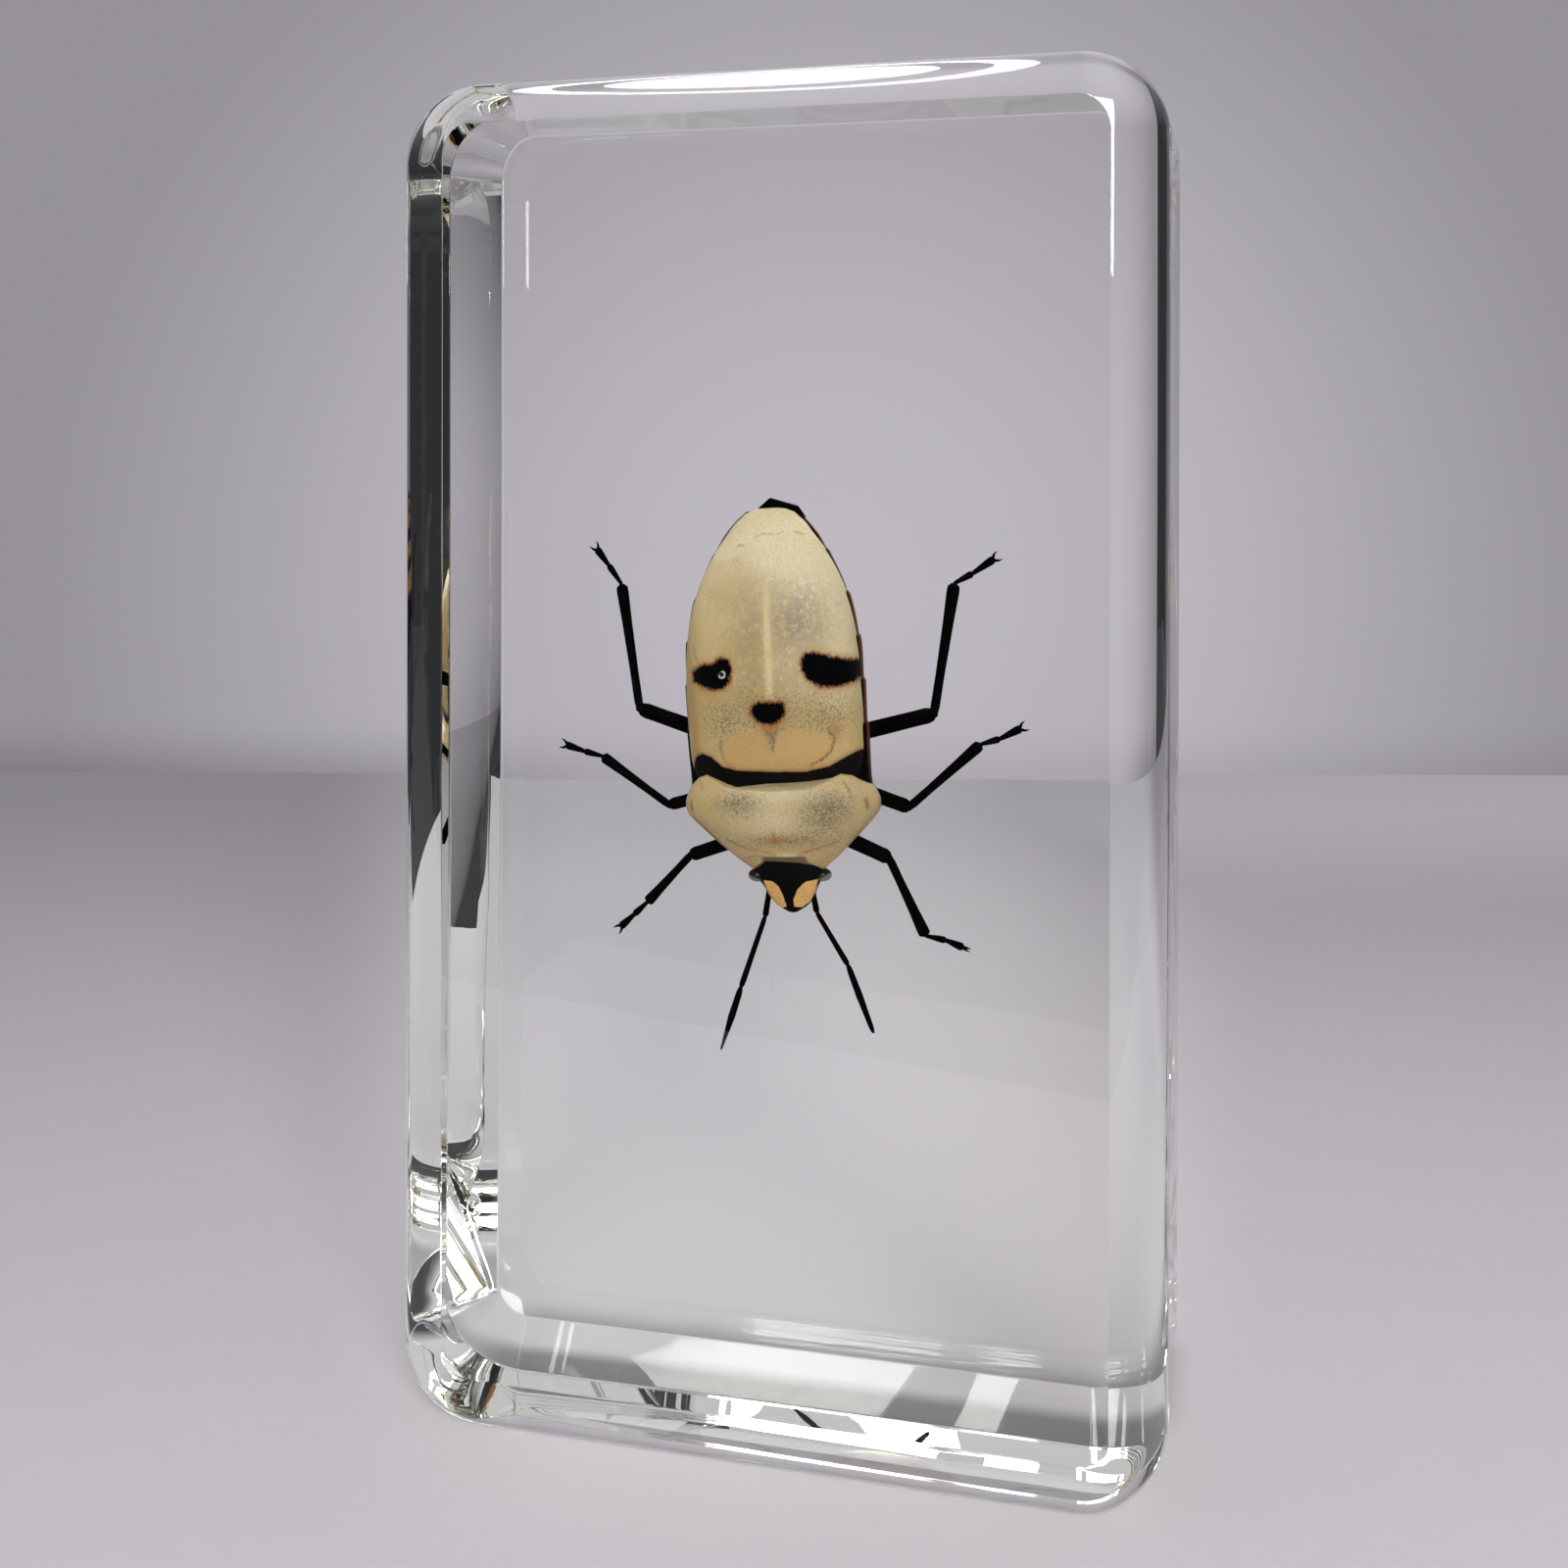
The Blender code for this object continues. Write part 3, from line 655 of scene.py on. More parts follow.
def eye_look():
    look = Look("eye", Roughness=0.2, Specular_IOR_Level=0.5)
    distance, _ = look.pits(look.where(), 0.035, randomness=0.2)
    grey = look.mix(look.step(distance, 0.1, 0.5, top=0.5), EYE_GREY, (0.16, 0.15, 0.15))
    look.set("Base Color", look.mix(look.painted("grey"), INK, grey))
    look.set("Normal", look.bump(distance, 0.006))
    return look.material


# ---------- the block
def rounded_rim(inset, depth):
    """A front rim's section as (y, inset, way forward or back, way out): a faint crease, then a round."""
    section = [(-BLOCK_DEPTH / 2, inset + CREASE_WIDTH, -1.0, 0.0)]
    wide = inset / (1 - math.sin(CREASE_TURN))
    deep = depth / math.cos(CREASE_TURN)
    for step in range(EDGE_STEPS + 1):
        turn = CREASE_TURN + (math.pi / 2 - CREASE_TURN) * step / EDGE_STEPS
        y = -BLOCK_DEPTH / 2 + deep * (math.cos(CREASE_TURN) - math.cos(turn))
        back, out = -math.cos(turn) / deep, math.sin(turn) / wide
        length = math.hypot(back, out)
        section.append((y, wide * (1 - math.sin(turn)), back / length, out / length))
    return section


def soft_corner(y, inset, start, end, radius=BEVEL_SOFTNESS):
    """Rounds the corner at (y, inset), where the surface turns from one slope to another."""
    reach = radius * math.tan((end - start) / 2)
    middle_y = y - math.cos(start) * reach - math.sin(start) * radius
    middle_inset = inset - math.sin(start) * reach + math.cos(start) * radius
    section = []
    for step in range(SOFT_STEPS + 1):
        turn = start + (end - start) * step / SOFT_STEPS
        back, out = math.sin(turn), math.cos(turn)
        section.append((middle_y + back * radius, middle_inset - out * radius, back, out))
    return section


def bevelled_rim(inset, depth):
    """A back rim's section, from the side to the back face."""
    slope = math.atan2(inset, depth)
    back = BLOCK_DEPTH / 2
    return soft_corner(back - depth, 0, 0, slope) + soft_corner(back, inset, slope, math.pi / 2)


def ring(rims, step):
    """One ring of points round the block, and the way the surface faces at each."""
    right, top = BLOCK_WIDTH / 2 - CORNER_RADIUS, BLOCK_HEIGHT - CORNER_RADIUS
    corners = (
        (right, CORNER_RADIUS, "right", "bottom", -90),
        (right, top, "right", "top", 0),
        (-right, top, "left", "top", 90),
        (-right, CORNER_RADIUS, "left", "bottom", 180),
    )
    points, normals = [], []
    for x, z, side, end, start in corners:
        side_row, end_row = np.array(rims[side][step]), np.array(rims[end][step])
        for corner_step in range(CORNER_STEPS + 1):
            turn = math.radians(start + 90 * corner_step / CORNER_STEPS)
            across, up = math.cos(turn), math.sin(turn)
            y, _, back, _ = side_row * across**2 + end_row * up**2
            out_x, out_z = (CORNER_RADIUS - side_row[1]) * across, (CORNER_RADIUS - end_row[1]) * up
            points.append((x + out_x, y, z + out_z))
            normals.append((across * side_row[3], back, up * end_row[3]))
    return points, normals


def resin_block(resin):
    rims = {side: rounded_rim(*sizes[:2]) + bevelled_rim(*sizes[2:]) for side, sizes in RIMS.items()}
    points, normals = [], []
    for step in range(len(rims["left"])):
        ring_points, ring_normals = ring(rims, step)
        points.append(ring_points)
        normals += ring_normals
    mesh = closed_mesh("resin_block", np.array(points))
    mesh.normals_split_custom_set_from_vertices(normals)
    block = place("resin_block", mesh, resin)
    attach(block, "root")
    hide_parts("resin_front", "resin_back")


# ---------- the bug's plates
def plate(stations, rear, front, rows):
    """A domed plate between two margins, with a turned-down edge all round and an underside."""
    turns = np.linspace(0, math.pi, PLATE_COLUMNS)
    share = -signed_power(np.cos(turns), SQUARENESS)
    rise = signed_power(np.sin(turns), SQUARENESS)
    top = np.interp(share, *zip(*rear))
    low = np.interp(share, *zip(*front))
    along = np.linspace(0, 1, rows)[:, None]
    height = low + (top - low) * along
    half_width, back = eased(stations, height)
    x = spine(height) + half_width * share
    margin = np.minimum(along, 1 - along) * (top - low)
    y = PLATE_EDGE_DROP * unit(1 - margin / PLATE_EDGE_REACH) ** 2 - back * rise
    under = np.maximum(y + PLATE_THICKNESS, PLATE_FOOT)
    upper_side = np.stack([x, y, height], axis=-1)
    underside = np.stack([x, under, height], axis=-1)
    return np.concatenate([upper_side, underside[:, ::-1]], axis=1)


def shield(shell):
    solid = plate(SHIELD, SHIELD_REAR, SHIELD_FRONT, rows=300)
    mesh = closed_mesh("shield", solid)
    x, z = solid[..., 0] - MARK_SHIFT, solid[..., 2]
    marks = [depth_inside(x, z, mark) for mark in (LEFT_SPOT, RIGHT_SPOT, NOSE, BAND)]
    ink = np.max(marks, axis=0)
    band = (marks[-1] >= ink).astype(float)
    ragged = np.where(band > 0, BAND_RAGGEDNESS, SPOT_RAGGEDNESS)
    paint(mesh, ink=ink, banded=band, ragged=ragged, fringed=1 - 0.6 * band, bubble=bubble(x, z))
    paint_shield(mesh, x, z)
    bug_piece("insect_shield", mesh, shell)


def bubble(x, z):
    """Painted reflection: the bright rim that a tiny air pocket on the left spot shows in the light, painted
    white and open at its upper left.
    """
    away_x, away_z = x - BUBBLE_CENTRE[0], z - BUBBLE_CENTRE[1]
    rim = unit(1.6 - np.abs(np.hypot(away_x, away_z) - BUBBLE_RADIUS) / BUBBLE_RIM)
    return rim * unit(1.4 - np.maximum(0, away_z - away_x) / 0.16)


def paint_shield(mesh, x, z):
    """Where the shield is peach, grey, pale, stippled, stained, creased and wrinkled; part of the pale is a
    painted highlight at the top and right.
    """
    plates = np.maximum(depth_inside(x, z, LEFT_PLATE), depth_inside(x, z, RIGHT_PLATE))
    nose_ring, streak, cloud = (patches(x, z, drawn) for drawn in (NOSE_RING, STREAK, RIGHT_CLOUD))
    bare = 0.9 * unit(plates / 0.3 + 0.3) * (1 - streak)
    stipple = patches(x, z, SHIELD_STIPPLE) + 0.2 * unit(1 - np.abs(z - 0.6) / 3)
    stipple += 0.85 * nose_ring + 0.9 * streak
    midline = stripe(x + 0.25, 0.2) * unit((z - 0.1) / 0.5) * unit((7 - z) / 3)
    grey = 0.85 * cloud + patches(x, z, SHIELD_GREY) + 0.3 * nose_ring + 0.5 * streak - 0.9 * midline
    above_edge = z - np.interp(x, *zip(*MEMBRANE_EDGE))
    membrane, ridge = unit(above_edge / 0.25), stripe(above_edge, 0.16)
    paint(
        mesh,
        peach=0.75 * unit(plates / 0.4 + 0.45) + 0.25 * unit((-0.5 - z) / 2),
        stipple=unit(stipple * (1 - bare)),
        grey=np.clip(grey, 0, 0.9),
        lavender=cloud,
        # Pale: the midline, the soft end and its ridge, and a painted highlight at the top and right.
        pale=unit(patches(x, z, SHIELD_PAINTED_HIGHLIGHT) + 0.55 * midline + 0.6 * ridge + 0.45 * membrane),
        crease=lines(x, z, SHIELD_LINES),
        stain=np.minimum(0.6 * patches(x, z, SHIELD_STAINS), 0.8),
        wrinkled=unit(0.9 * membrane + 0.5 * ridge),
    )


def collar(shell):
    solid = plate(COLLAR, COLLAR_REAR, COLLAR_FRONT, rows=150)
    mesh = closed_mesh("collar", solid)
    x, z = solid[..., 0], solid[..., 2]
    left, right, front = (patches(x, z, drawn) for drawn in (COLLAR_LEFT, COLLAR_RIGHT, COLLAR_FORE))
    edge = unit((-6.9 - z) / 0.7) + unit((np.abs(x) - 4.2) / 0.8)
    half_width = eased(COLLAR, z)[0]
    margin = unit((np.abs(x) - 0.9 * half_width) / 0.25) * unit((-5.6 - z) / 0.5)
    paint(mesh, ink=-5, ragged=0, fringed=0, banded=0, lavender=0, bubble=0)
    paint(
        mesh,
        peach=np.minimum(0.2 + 0.6 * edge, 0.85),
        stipple=unit(0.95 * left + right + 0.8 * front + 0.15),
        grey=np.minimum(0.55 * left + 0.7 * right + 0.3 * front, 0.8),
        pale=unit(patches(x, z, COLLAR_PALE) + 0.15),
        crease=lines(x, z, COLLAR_LINES),
        stain=unit(patches(x, z, COLLAR_MARK) + 0.85 * margin),
        wrinkled=0.5 * unit((-7.4 - z) / 0.4),
    )
    bug_piece("insect_collar", mesh, shell)


# ---------- the bug's body
def body_grid(stations, rows, columns, steps=np.zeros_like):
    """Rings of points round the body: squarish ovals, with their back and belly of unlike depth."""
    heights = np.linspace(stations[0][0], stations[-1][0], rows)
    half_width, back, belly = (values[:, None] for values in eased(stations, heights))
    turns = np.linspace(0, math.tau, columns, endpoint=False)[None]
    step = steps(heights)[:, None]
    rise = signed_power(np.sin(turns), SQUARENESS)
    x = spine(heights)[:, None] + (half_width + step) * signed_power(np.cos(turns), SQUARENESS)
    y = np.where(rise > 0, -back * rise, -(belly + step * 1.2) * rise)
    return np.stack([x, y, heights[:, None] + 0 * x], axis=-1)


def segment_steps(heights):
    """Each ring of the abdomen stands out a little at its rear end."""
    part = np.where(heights < RING_START, 0, (heights - RING_START) / RING_LENGTH % 1.0)
    return RING_STEP * np.where(part > 0.93, (1 - part) / 0.07, part)


def trunk(cuticle):
    grid = body_grid(TRUNK, 260, 120, steps=segment_steps)
    mesh = closed_mesh("trunk", grid)
    x, y, z = np.moveaxis(grid, -1, 0)
    aside = np.abs(x - spine(z))
    share = aside / aside.max(axis=1, keepdims=True)
    rim = 0.85 * unit((share - 0.985) / 0.01) * np.clip((z + 5) / 3, 0.3, 1)
    bands = np.max([unit((half - np.abs(z - middle)) / 0.1) for middle, half in BELLY_BANDS], axis=0)
    paint(mesh, rim=rim, belly=unit((y - 0.5) / 0.3) * bands)
    return bug_piece("insect_body", mesh, cuticle)


def head(look):
    grid = body_grid(HEAD, 90, 72)
    nose = grid[0].mean(axis=0)
    tip = nose + (grid[0] - nose) * HEAD_TIP_SHARE - (0, 0, HEAD_TIP)
    grid = np.concatenate([tip[None], grid])
    mesh = closed_mesh("head", grid)
    x, y, z = np.moveaxis(grid, -1, 0)
    cheeks = np.maximum(depth_inside(x, z, LEFT_CHEEK), depth_inside(x, z, RIGHT_CHEEK))
    paint(mesh, cheek=np.where(y < CHEEK_DEPTH, cheeks, -1))
    bug_piece("insect_head", mesh, look)


def ball(name, centre, radii, across):
    shape = bmesh.new()
    bmesh.ops.create_uvsphere(shape, u_segments=across, v_segments=across // 2, radius=1)
    stretch = Matrix.Diagonal([radius * MM for radius in radii] + [1])
    matrix = Matrix.Translation(Vector(centre) * MM) @ stretch
    bmesh.ops.transform(shape, matrix=matrix, verts=shape.verts)
    return from_shape(name, shape)


def eye(side, look):
    """One eye, grey where it looks out and down."""
    x, y, z = EYE_OFFSET
    centre = (side * x + float(spine(z)), y, z)
    mesh = ball("eye", centre, EYE_RADII, across=40)
    places = np.array([vertex.co[:] for vertex in mesh.vertices]) / MM - centre
    right, _, up = (places / EYE_RADII).T
    paint(mesh, grey=unit((side * right * 0.6 - up - 0.25) / 0.15))
    bug_piece("insect_eye_left" if side < 0 else "insect_eye_right", mesh, look)


def tail(cuticle):
    """The bare last segment, an uneven blunt wedge that shows past the shield."""
    corners = np.array(TAIL_OUTLINE)
    middle = corners.mean(axis=0)
    rings = []
    for depth, share in TAIL_LEVELS:
        rings.append([(x, depth, z) for x, z in middle + (corners - middle) * share])
    shape = bmesh.new()
    shape.from_mesh(closed_mesh("tail", np.array(rings)))
    bmesh.ops.bevel(shape, geom=shape.edges, offset=TAIL_SOFTNESS * MM, segments=2, affect="EDGES")
    mesh = from_shape("tail", shape)
    mesh.set_sharp_from_angle(angle=math.radians(30))
    bug_piece("insect_tail", mesh, cuticle)


# ---------- limbs
# How each segment's radius changes along it: place, share of the radius.
THIGH = [
    (0, 0.5), (0.03, 0.8), (0.12, 0.98), (0.5, 1.04), (0.85, 0.98), (0.94, 1.0), (0.985, 0.82), (1, 0.45),
]
SHIN = [(0, 0.45), (0.02, 0.68), (0.06, 0.84), (0.3, 0.82), (0.7, 0.98), (0.93, 1.16), (0.975, 1.1), (1, 0.5)]
FOOT = [(0, 0.42), (0.07, 0.6), (0.25, 0.7), (0.6, 0.95), (0.88, 1.08), (0.97, 0.85), (1, 0.4)]
ROOT = [(0, 0.9), (0.15, 1.1), (0.5, 1.2), (0.85, 1.1), (0.97, 0.9), (1, 0.6)]
FEELER = [(0, 0.5), (0.02, 0.75), (0.08, 0.88), (0.5, 0.95), (0.9, 1.04), (0.97, 0.95), (1, 0.55)]
FEELER_END = [
    (0, 0.45), (0.02, 0.7), (0.1, 0.92), (0.45, 1.05), (0.8, 0.92), (0.93, 0.7), (0.985, 0.4), (1, 0.1),
]


def tube(name, path, radii, aside, upward, sides):
    """A closed tube along a path, with its radius and its two sideways ways at each place."""
    turns = np.linspace(0, math.tau, sides, endpoint=False)[None, :, None]
    ring = np.cos(turns) * aside + np.sin(turns) * upward
    return closed_mesh(name, path[:, None] + ring * radii[:, None, None])


def sweep(name, start, end, radius, profile, sides=16, flat=1.0, tip=None):
    """One segment of a limb: a straight tube whose radius follows the profile, or narrows to a tip."""
    way = (end - start) / np.linalg.norm(end - start)
    aside = np.cross(way, (0, 1, 0))
    aside /= np.linalg.norm(aside)
    shares = np.unique(np.concatenate([np.linspace(0, 1, 28), [knot for knot, _ in profile]]))
    radii = radius * np.interp(shares, *zip(*profile))
    if tip is not None:
        narrowed = radius + (tip - radius) * (shares - 0.5) * 2
        radii = np.where(shares > 0.5, np.minimum(radii, narrowed), radii)
    path = start + (end - start) * shares[:, None]
    return tube(name, path, radii, aside, np.cross(aside, way) * flat, sides)


def bent_tube(name, stops, sides=12):
    """A tube on a smooth curve through points, each with its radius."""
    places = np.linspace(0, len(stops) - 1, 8 * (len(stops) - 1) + 1)
    path = np.stack(eased([(k, *point) for k, (point, _) in enumerate(stops)], places), axis=-1)
    radii = np.interp(places, range(len(stops)), [radius for _, radius in stops])
    ways = np.gradient(path, axis=0)
    ways /= np.linalg.norm(ways, axis=1, keepdims=True)
    aside = np.cross(ways, (0, 1, 0.001))
    aside /= np.linalg.norm(aside, axis=1, keepdims=True)
    return tube(name, path, radii, aside[:, None], np.cross(aside, ways)[:, None], sides)


def claws(toe, way, spread):
    """The two hooks at the end of a foot."""
    made = []
    for side in (-1, 1):
        turn = math.radians(side * spread)
        turned = Matrix.Rotation(turn, 3, "Y") @ Vector(way)
        hooked = Matrix.Rotation(turn * CLAW_HOOK, 3, "Y") @ Vector(way)
        root = Vector(toe) - Vector(way) * CLAW_ROOT
        bend = root + turned * CLAW_LENGTH * CLAW_BEND
        tip = bend + hooked * CLAW_LENGTH * (1 - CLAW_BEND)
        made.append(bent_tube("claw", list(zip((root, bend, tip), CLAW_RADII)), sides=8))
    return made


def leg(name, joints, thigh, shin, spread, cuticle):
    hip, knee, ankle, sole, toe = [np.array((x, depth, z)) for (x, z), depth in zip(joints, LEG_DEPTHS)]
    root = np.array((hip[0] * ROOT_SHARE, ROOT_DEPTH, hip[2]))
    way = (toe - sole) / np.linalg.norm(toe - sole)
    shin_way = (ankle - knee) / np.linalg.norm(ankle - knee)
    parts = [
        sweep("root", root, hip, ROOT_RADIUS, ROOT),
        sweep("thigh", hip, knee, thigh, THIGH, sides=20, flat=0.85),
        sweep("shin", knee - LEG_OVERLAP * shin_way, ankle, shin, SHIN, flat=0.8),
        sweep("foot", ankle - way * LEG_OVERLAP, sole, FOOT_RADIUS * 0.85, FOOT),
        sweep("foot", sole - way * LEG_OVERLAP, toe, FOOT_RADIUS, FOOT),
        ball("joint", knee, (shin * 0.75,) * 3, across=16),
    ]
    bug_piece(f"insect_leg_{name}", joined("leg", parts + claws(toe, way, spread)), cuticle)


def feeler(side, cuticle):
    points = [np.array((x, 0.0, z)) for x, z in FEELERS[side]]
    parts = []
    for k, (start, end) in enumerate(zip(points, points[1:])):
        last = k == len(points) - 2
        profile = FEELER_END if last else FEELER
        tip = FEELER_TIPS[side] if last else None
        parts.append(sweep("feeler", start, end, FEELER_RADII[k], profile, sides=14, tip=tip))
    bug_piece(f"insect_feeler_{side}", joined("feeler", parts), cuticle)


def bug():
    shell, black, body = shell_look(), black_look(), trunk_look()
    main = trunk(body)
    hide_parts("insect")
    shield(shell)
    collar(shell)
    head(head_look())
    eyes = eye_look()
    for side in (-1, 1):
        eye(side, eyes)
    tail(black)
    bug_piece("insect_beak", bent_tube("beak", BEAK), black)
    for name, (thigh, shin, spread, *joints) in LEGS.items():
        leg(name, joints, thigh, shin, spread, black)
    for side in FEELERS:
        feeler(side, black)


# ---------- the studio
STAGE_TURN = 0.26  # the floor and the wall stand square to the view
IN_METRES = (MM, MM, MM)  # turns a piece's coordinates from millimetres to metres
FLOOR_SIDES = (-0.5, 0.5)
FLOOR_ENDS = (-0.07, 0.205)
FLOOR_LEVEL = -0.02 * MM
PAPER_DIM = (0.30, 0.287, 0.31)
PAPER_BRIGHT = (0.58, 0.56, 0.59)
PAINTED_LIGHT_WHITE = (0.90, 0.885, 0.91)
# Painted light: a pool of light is painted on the floor round this place.
FLOOR_LIGHT_POOL = (0.02, -0.08, 0.0)  # the floor's paler part
FLOOR_LIGHT_POOL_REACH = 0.32
# A pale fan of light is painted on the floor behind the block. Its edges are slopes from a point in front of
# it.
FAN_START = 0.1
FAN_LEFT = (-0.27, -0.1)
FAN_RIGHT = (0.02, 0.27)
FAN_NEAR = (-0.02, 0.03, 0.78)  # between these places it rises, to this share
FAN_FAR = (0.09, 0.18, 0.35)  # and between these it fades, by this share
# Painted light: far behind the block, all of the right is painted pale.
FAR_RIGHT = (-0.01, 0.03)
FAR_BACK = (0.1, 0.18, 0.3)
# The block's painted shadow on the floor, in millimetres: how it ends at the sides, at its back and at its
# front.
SHADE_SIDE = (21.5, 17.5)
SHADE_BACK = (16.0, 11.0)
SHADE_FRONT = (2.0, 6.0, 0.66)  # the last is its depth

WALL_BACK = 1.1
WALL_SIDES = (-0.53, 1.7)
WALL_HEIGHTS = (-0.35, 1.0)
# The wall glows by its own emission: painted light, with a painted shade towards its foot.
WALL_GLOW = (0.58, 0.545, 0.60)
WALL_POOL = (0.03, WALL_BACK, -0.03)
WALL_POOL_REACH = 0.554  # here its glow has halved
WALL_EDGE_GLOW = 0.53  # its least share
WALL_SIDE_GLOW = (0.5, 0.75, 0.45)  # between these places it rises again, by this share
WALL_SIDE_TOP = (0.02, 0.3, 0.8)  # between these heights that rise fades, by this share
WALL_FOOT_GLOW = 0.64
WALL_FOOT_FADE = (-0.30, -0.05, 0.2)  # between these places the foot's glow rises, by this share
WALL_FOOT_SHADE = (-0.17, -0.115)  # between these heights the wall darkens to its foot

LAMP_PLACE = (-0.135, 0.0, 0.57)
LAMP_RADII = (0.09, 0.3)
LAMP_RINGS = {"lamp_ring": (0.84, 1.0), "lamp_disc": (0.01, 0.64)}  # inner and outer share of the radii
LAMP_COLOUR = (1.0, 0.985, 0.96)
LAMP_STRENGTH = 10.0
KEY_PLACE = Vector((0.2, -0.5, 0.26))
KEY_AIM = Vector((0.0, 0.0, 0.04))
KEY_SIZE = (0.34, 0.3)
KEY_COLOUR = (1.0, 0.98, 0.95)
KEY_POWER = 4.4
# The surroundings' colour up to one height above the horizon, and from another on. The heights
# are nought at the horizon and one overhead.
LOW_GLOW = (0.24, (0.03, 0.03, 0.034, 1))
HIGH_GLOW = (0.5, (0.66, 0.64, 0.68, 1))


def from_pool(look, pool):
    """How far the surface is from the middle of its painted pool of light, in metres."""
    inputs = {0: look.where(stretch=IN_METRES), 1: pool}
    return look.node("ShaderNodeVectorMath", inputs, operation="DISTANCE").outputs["Value"]


def floor_look():
    """Grey paper with painted light: pale round one place, in a fan behind the block and far to the right,
    and a painted shadow at the block's foot.
    """
    look = Look("floor_paper", Roughness=0.75, Specular_IOR_Level=0.2)
    # Painted light: the floor is paler near the pool's middle and dimmer away from it.
    shade = look.step(from_pool(look, FLOOR_LIGHT_POOL), 0.0, FLOOR_LIGHT_POOL_REACH)
    colour = look.mix(shade, PAPER_BRIGHT, PAPER_DIM)
    grain = look.noise(look.where(), 1.2, detail=3.0)
    colour = look.mix(look.times(grain, 0.1), colour, PAPER_DIM)
    # Painted light: a pale fan behind the block, and pale far to the right.
    across, along, _ = look.axes(look.where(stretch=IN_METRES))
    slope = look.math("DIVIDE", across, look.plus(along, FAN_START))
    fan = look.times(look.step(slope, *FAN_LEFT), look.fade(slope, *FAN_RIGHT))
    fan = look.times(fan, look.step(along, *FAN_NEAR), look.fade(along, *FAN_FAR))
    far = look.times(look.step(across, *FAR_RIGHT), look.step(along, *FAR_BACK))
    colour = look.mix(look.math("MAXIMUM", fan, far), colour, PAINTED_LIGHT_WHITE)
    # Painted shadow: the floor is painted darker just behind the block's foot.
    look.set("Base Color", look.mix(block_shade(look), colour, (0.0, 0.0, 0.0)))
    return look.material


def block_shade(look):
    """The block's painted shadow: how dark the floor is painted just behind the block's foot."""
    across, along, _ = look.axes(look.where(turn=(0, 0, STAGE_TURN)))
    inside = look.step(look.math("ABSOLUTE", across), *SHADE_SIDE)
    return look.times(inside, look.step(along, *SHADE_BACK), look.step(along, *SHADE_FRONT))


def wall_look():
    """A far wall that glows by its own emission, as painted light: it fades from one place, and a painted
    shade darkens it towards its foot.
    """
    look = Look("far_wall", Roughness=1.0, Specular_IOR_Level=0.0, Emission_Strength=1.0)
    look.set("Base Color", (0.0, 0.0, 0.0))
    away = look.math("DIVIDE", from_pool(look, WALL_POOL), WALL_POOL_REACH)
    glow = look.math("DIVIDE", 1.0, look.plus(look.times(away, away), 1.0))
    glow = look.math("MAXIMUM", glow, WALL_EDGE_GLOW)
    across, _, up = look.axes(look.where(stretch=IN_METRES))
    foot_glow = look.plus(look.step(across, *WALL_FOOT_FADE), WALL_FOOT_GLOW)
    height = look.step(up, *WALL_FOOT_SHADE)
    glow = look.times(glow, look.plus(foot_glow, look.times(look.minus(1.0, foot_glow), height)))
    side_glow = look.times(look.step(across, *WALL_SIDE_GLOW), look.fade(up, *WALL_SIDE_TOP))
    look.set("Emission Color", look.mix(look.plus(glow, side_glow), (0, 0, 0), WALL_GLOW))
    return look.material


def stage_piece(name, corners, made_of):
    made = place(name, grid_mesh(name, np.array(corners) / MM), made_of)
    made.rotation_euler = (0, 0, STAGE_TURN)


def backdrop():
    """A pale floor just under the block, and a wall a good way behind it."""
    floor = [[(x, y, FLOOR_LEVEL) for x in FLOOR_SIDES] for y in FLOOR_ENDS]
    stage_piece("floor", floor, floor_look())
    wall = [[(x, WALL_BACK, z) for x in WALL_SIDES] for z in WALL_HEIGHTS]
    stage_piece("wall", wall, wall_look())


def lamp():
    """A long oval lamp overhead: a bright disc inside a bright ring."""
    glow = Look("lamp_glow", Emission_Strength=LAMP_STRENGTH)
    glow.set("Base Color", (0, 0, 0))
    glow.set("Emission Color", LAMP_COLOUR)
    turns = np.linspace(0, math.tau, 64, endpoint=False)
    oval = np.stack([np.cos(turns), np.sin(turns), 0 * turns], axis=-1) * (*LAMP_RADII, 1) / MM
    for name, (inner, outer) in LAMP_RINGS.items():
        mesh = grid_mesh(name, np.array([oval * inner, oval * outer]), closed=True)
        made = place(name, mesh, glow.material)
        made.location = LAMP_PLACE
        made.visible_diffuse = False


def key_light():
    """A broad soft light from the front right."""
    data = bpy.data.lights.new("key", "AREA")
    data.shape = "RECTANGLE"
    data.size, data.size_y = KEY_SIZE
    data.energy = KEY_POWER
    data.color = KEY_COLOUR
    light = bpy.data.objects.new("key", data)
    light.location = KEY_PLACE
    light.rotation_euler = (KEY_AIM - KEY_PLACE).to_track_quat("-Z", "Y").to_euler()
    bpy.context.scene.collection.objects.link(light)


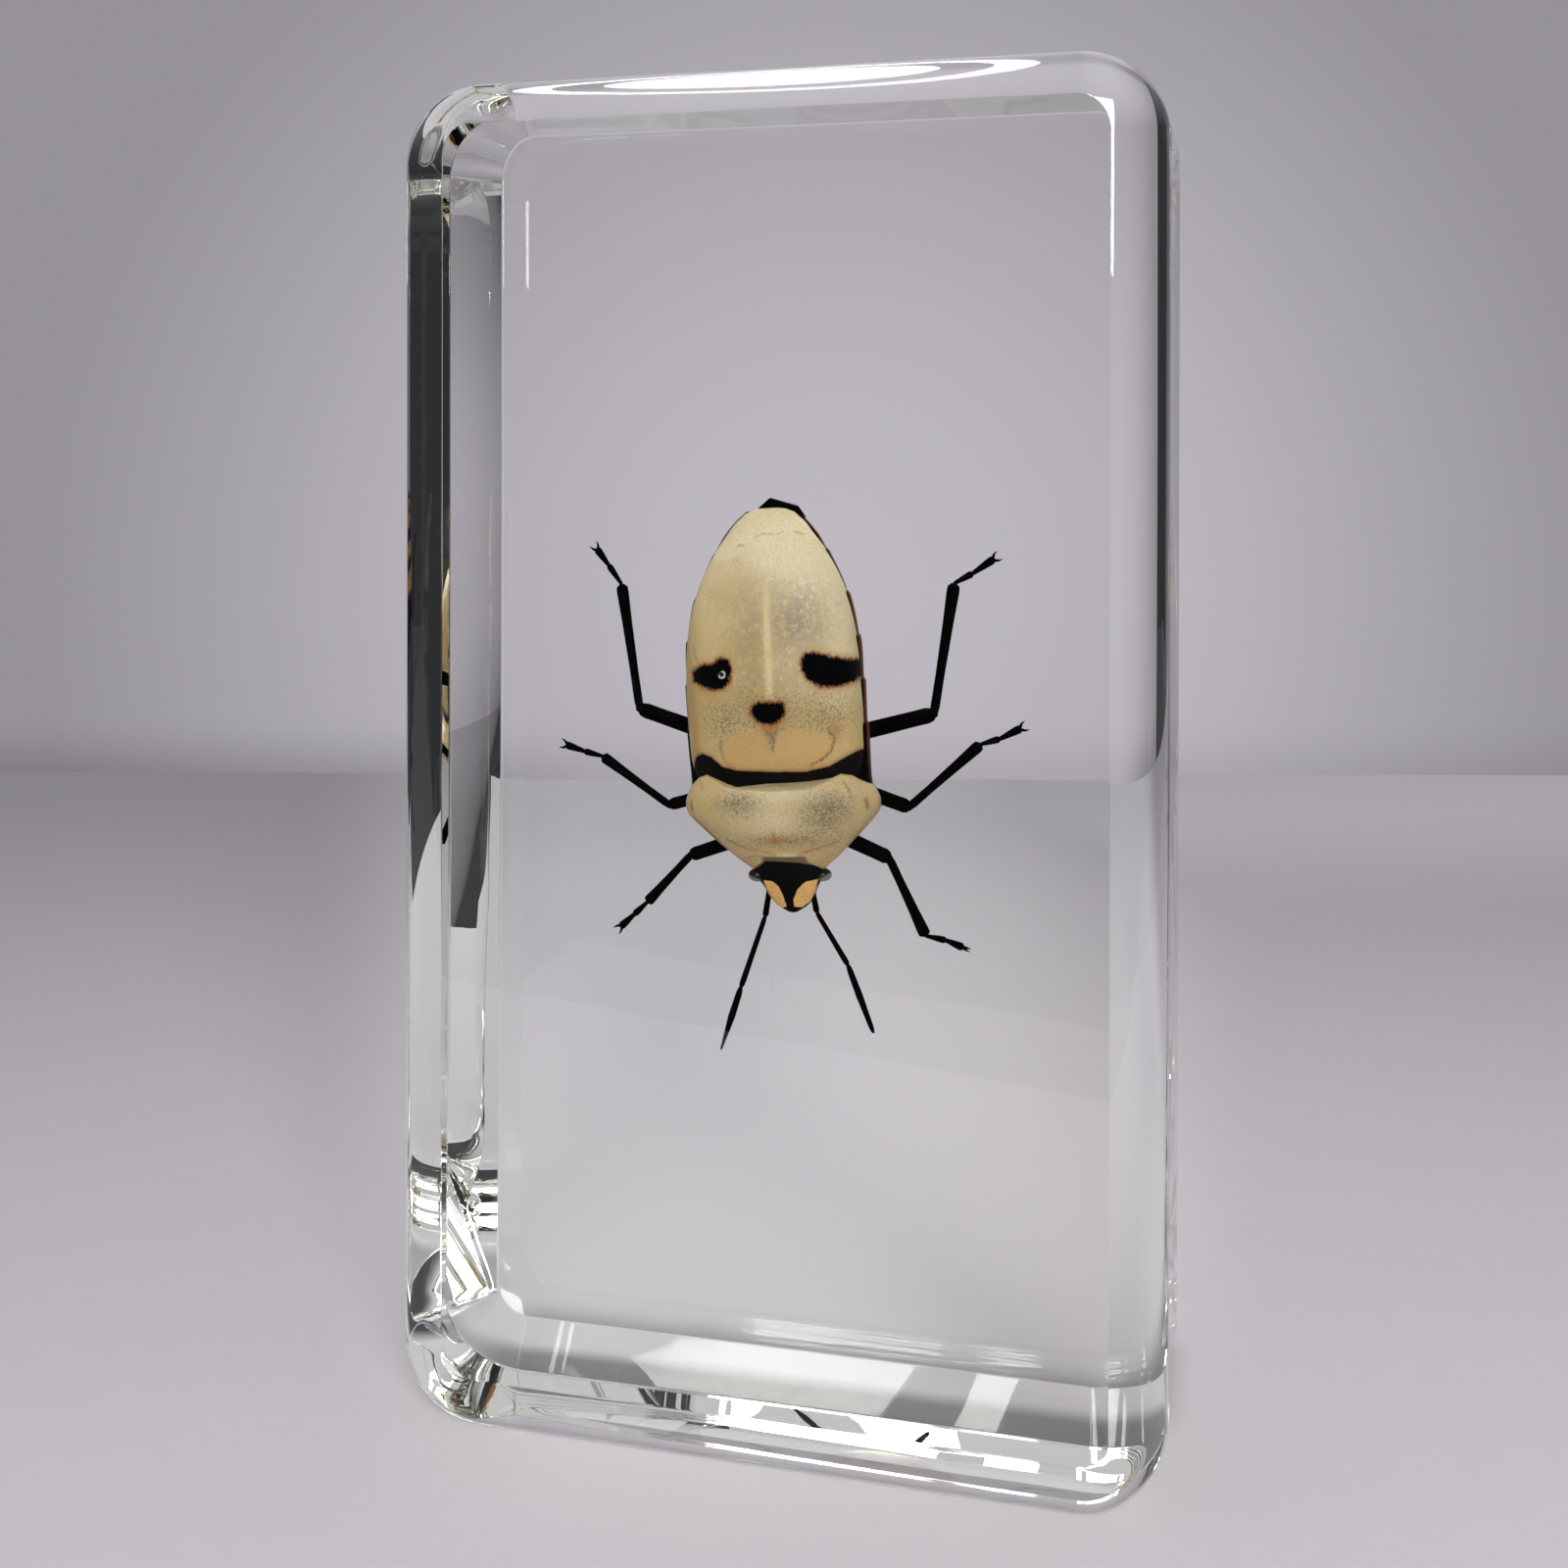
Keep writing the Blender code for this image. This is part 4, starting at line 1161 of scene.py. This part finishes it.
def surroundings():
    """Dim at the level of the horizon and brighter overhead."""
    world = bpy.data.worlds.new("studio")
    bpy.context.scene.world = world
    world.use_nodes = True
    tree = world.node_tree
    coordinates = tree.nodes.new("ShaderNodeTexCoord")
    split = tree.nodes.new("ShaderNodeSeparateXYZ")
    ramp = tree.nodes.new("ShaderNodeValToRGB")
    tree.links.new(coordinates.outputs["Generated"], split.inputs[0])
    tree.links.new(split.outputs["Z"], ramp.inputs["Fac"])
    tree.links.new(ramp.outputs["Color"], tree.nodes["Background"].inputs["Color"])
    low, high = ramp.color_ramp.elements
    low.position, low.color = LOW_GLOW
    high.position, high.color = HIGH_GLOW


# ---------- the camera
CAMERA_PLACE = Vector((25.412, -97.398, 52.567)) * MM
CAMERA_YAW = 0.2612
CAMERA_PITCH = -0.0041
CAMERA_ROLL = 0.0018
FOCAL_SHARE = 1.16551875  # the focal length, as a share of the frame's width
FRAME_SHIFT = -0.2021  # the middle of the frame lies below the eye level, by this share of its width
SENSOR_WIDTH = 36


def camera():
    data = bpy.data.cameras.new("camera")
    data.sensor_width = SENSOR_WIDTH
    data.lens = FOCAL_SHARE * SENSOR_WIDTH
    data.shift_y = FRAME_SHIFT
    data.clip_start, data.clip_end = 0.001, 50
    made = bpy.data.objects.new("camera", data)
    upright = Matrix.Rotation(math.pi / 2 + CAMERA_PITCH, 4, "X") @ Matrix.Rotation(CAMERA_ROLL, 4, "Z")
    turned = Matrix.Rotation(CAMERA_YAW, 4, "Z") @ upright
    made.matrix_world = Matrix.Translation(CAMERA_PLACE) @ turned
    bpy.context.scene.collection.objects.link(made)
    bpy.context.scene.camera = made


def render_settings():
    scene = bpy.context.scene
    scene.view_settings.view_transform = "Standard"
    scene.cycles.max_bounces = 14
    scene.cycles.transmission_bounces = 14
    scene.cycles.glossy_bounces = 12
    scene.cycles.diffuse_bounces = 4


def write_size():
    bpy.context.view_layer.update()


write_size()
resin_block(resin_look())
bug()
backdrop()
surroundings()
lamp()
key_light()
camera()
render_settings()
write_size()
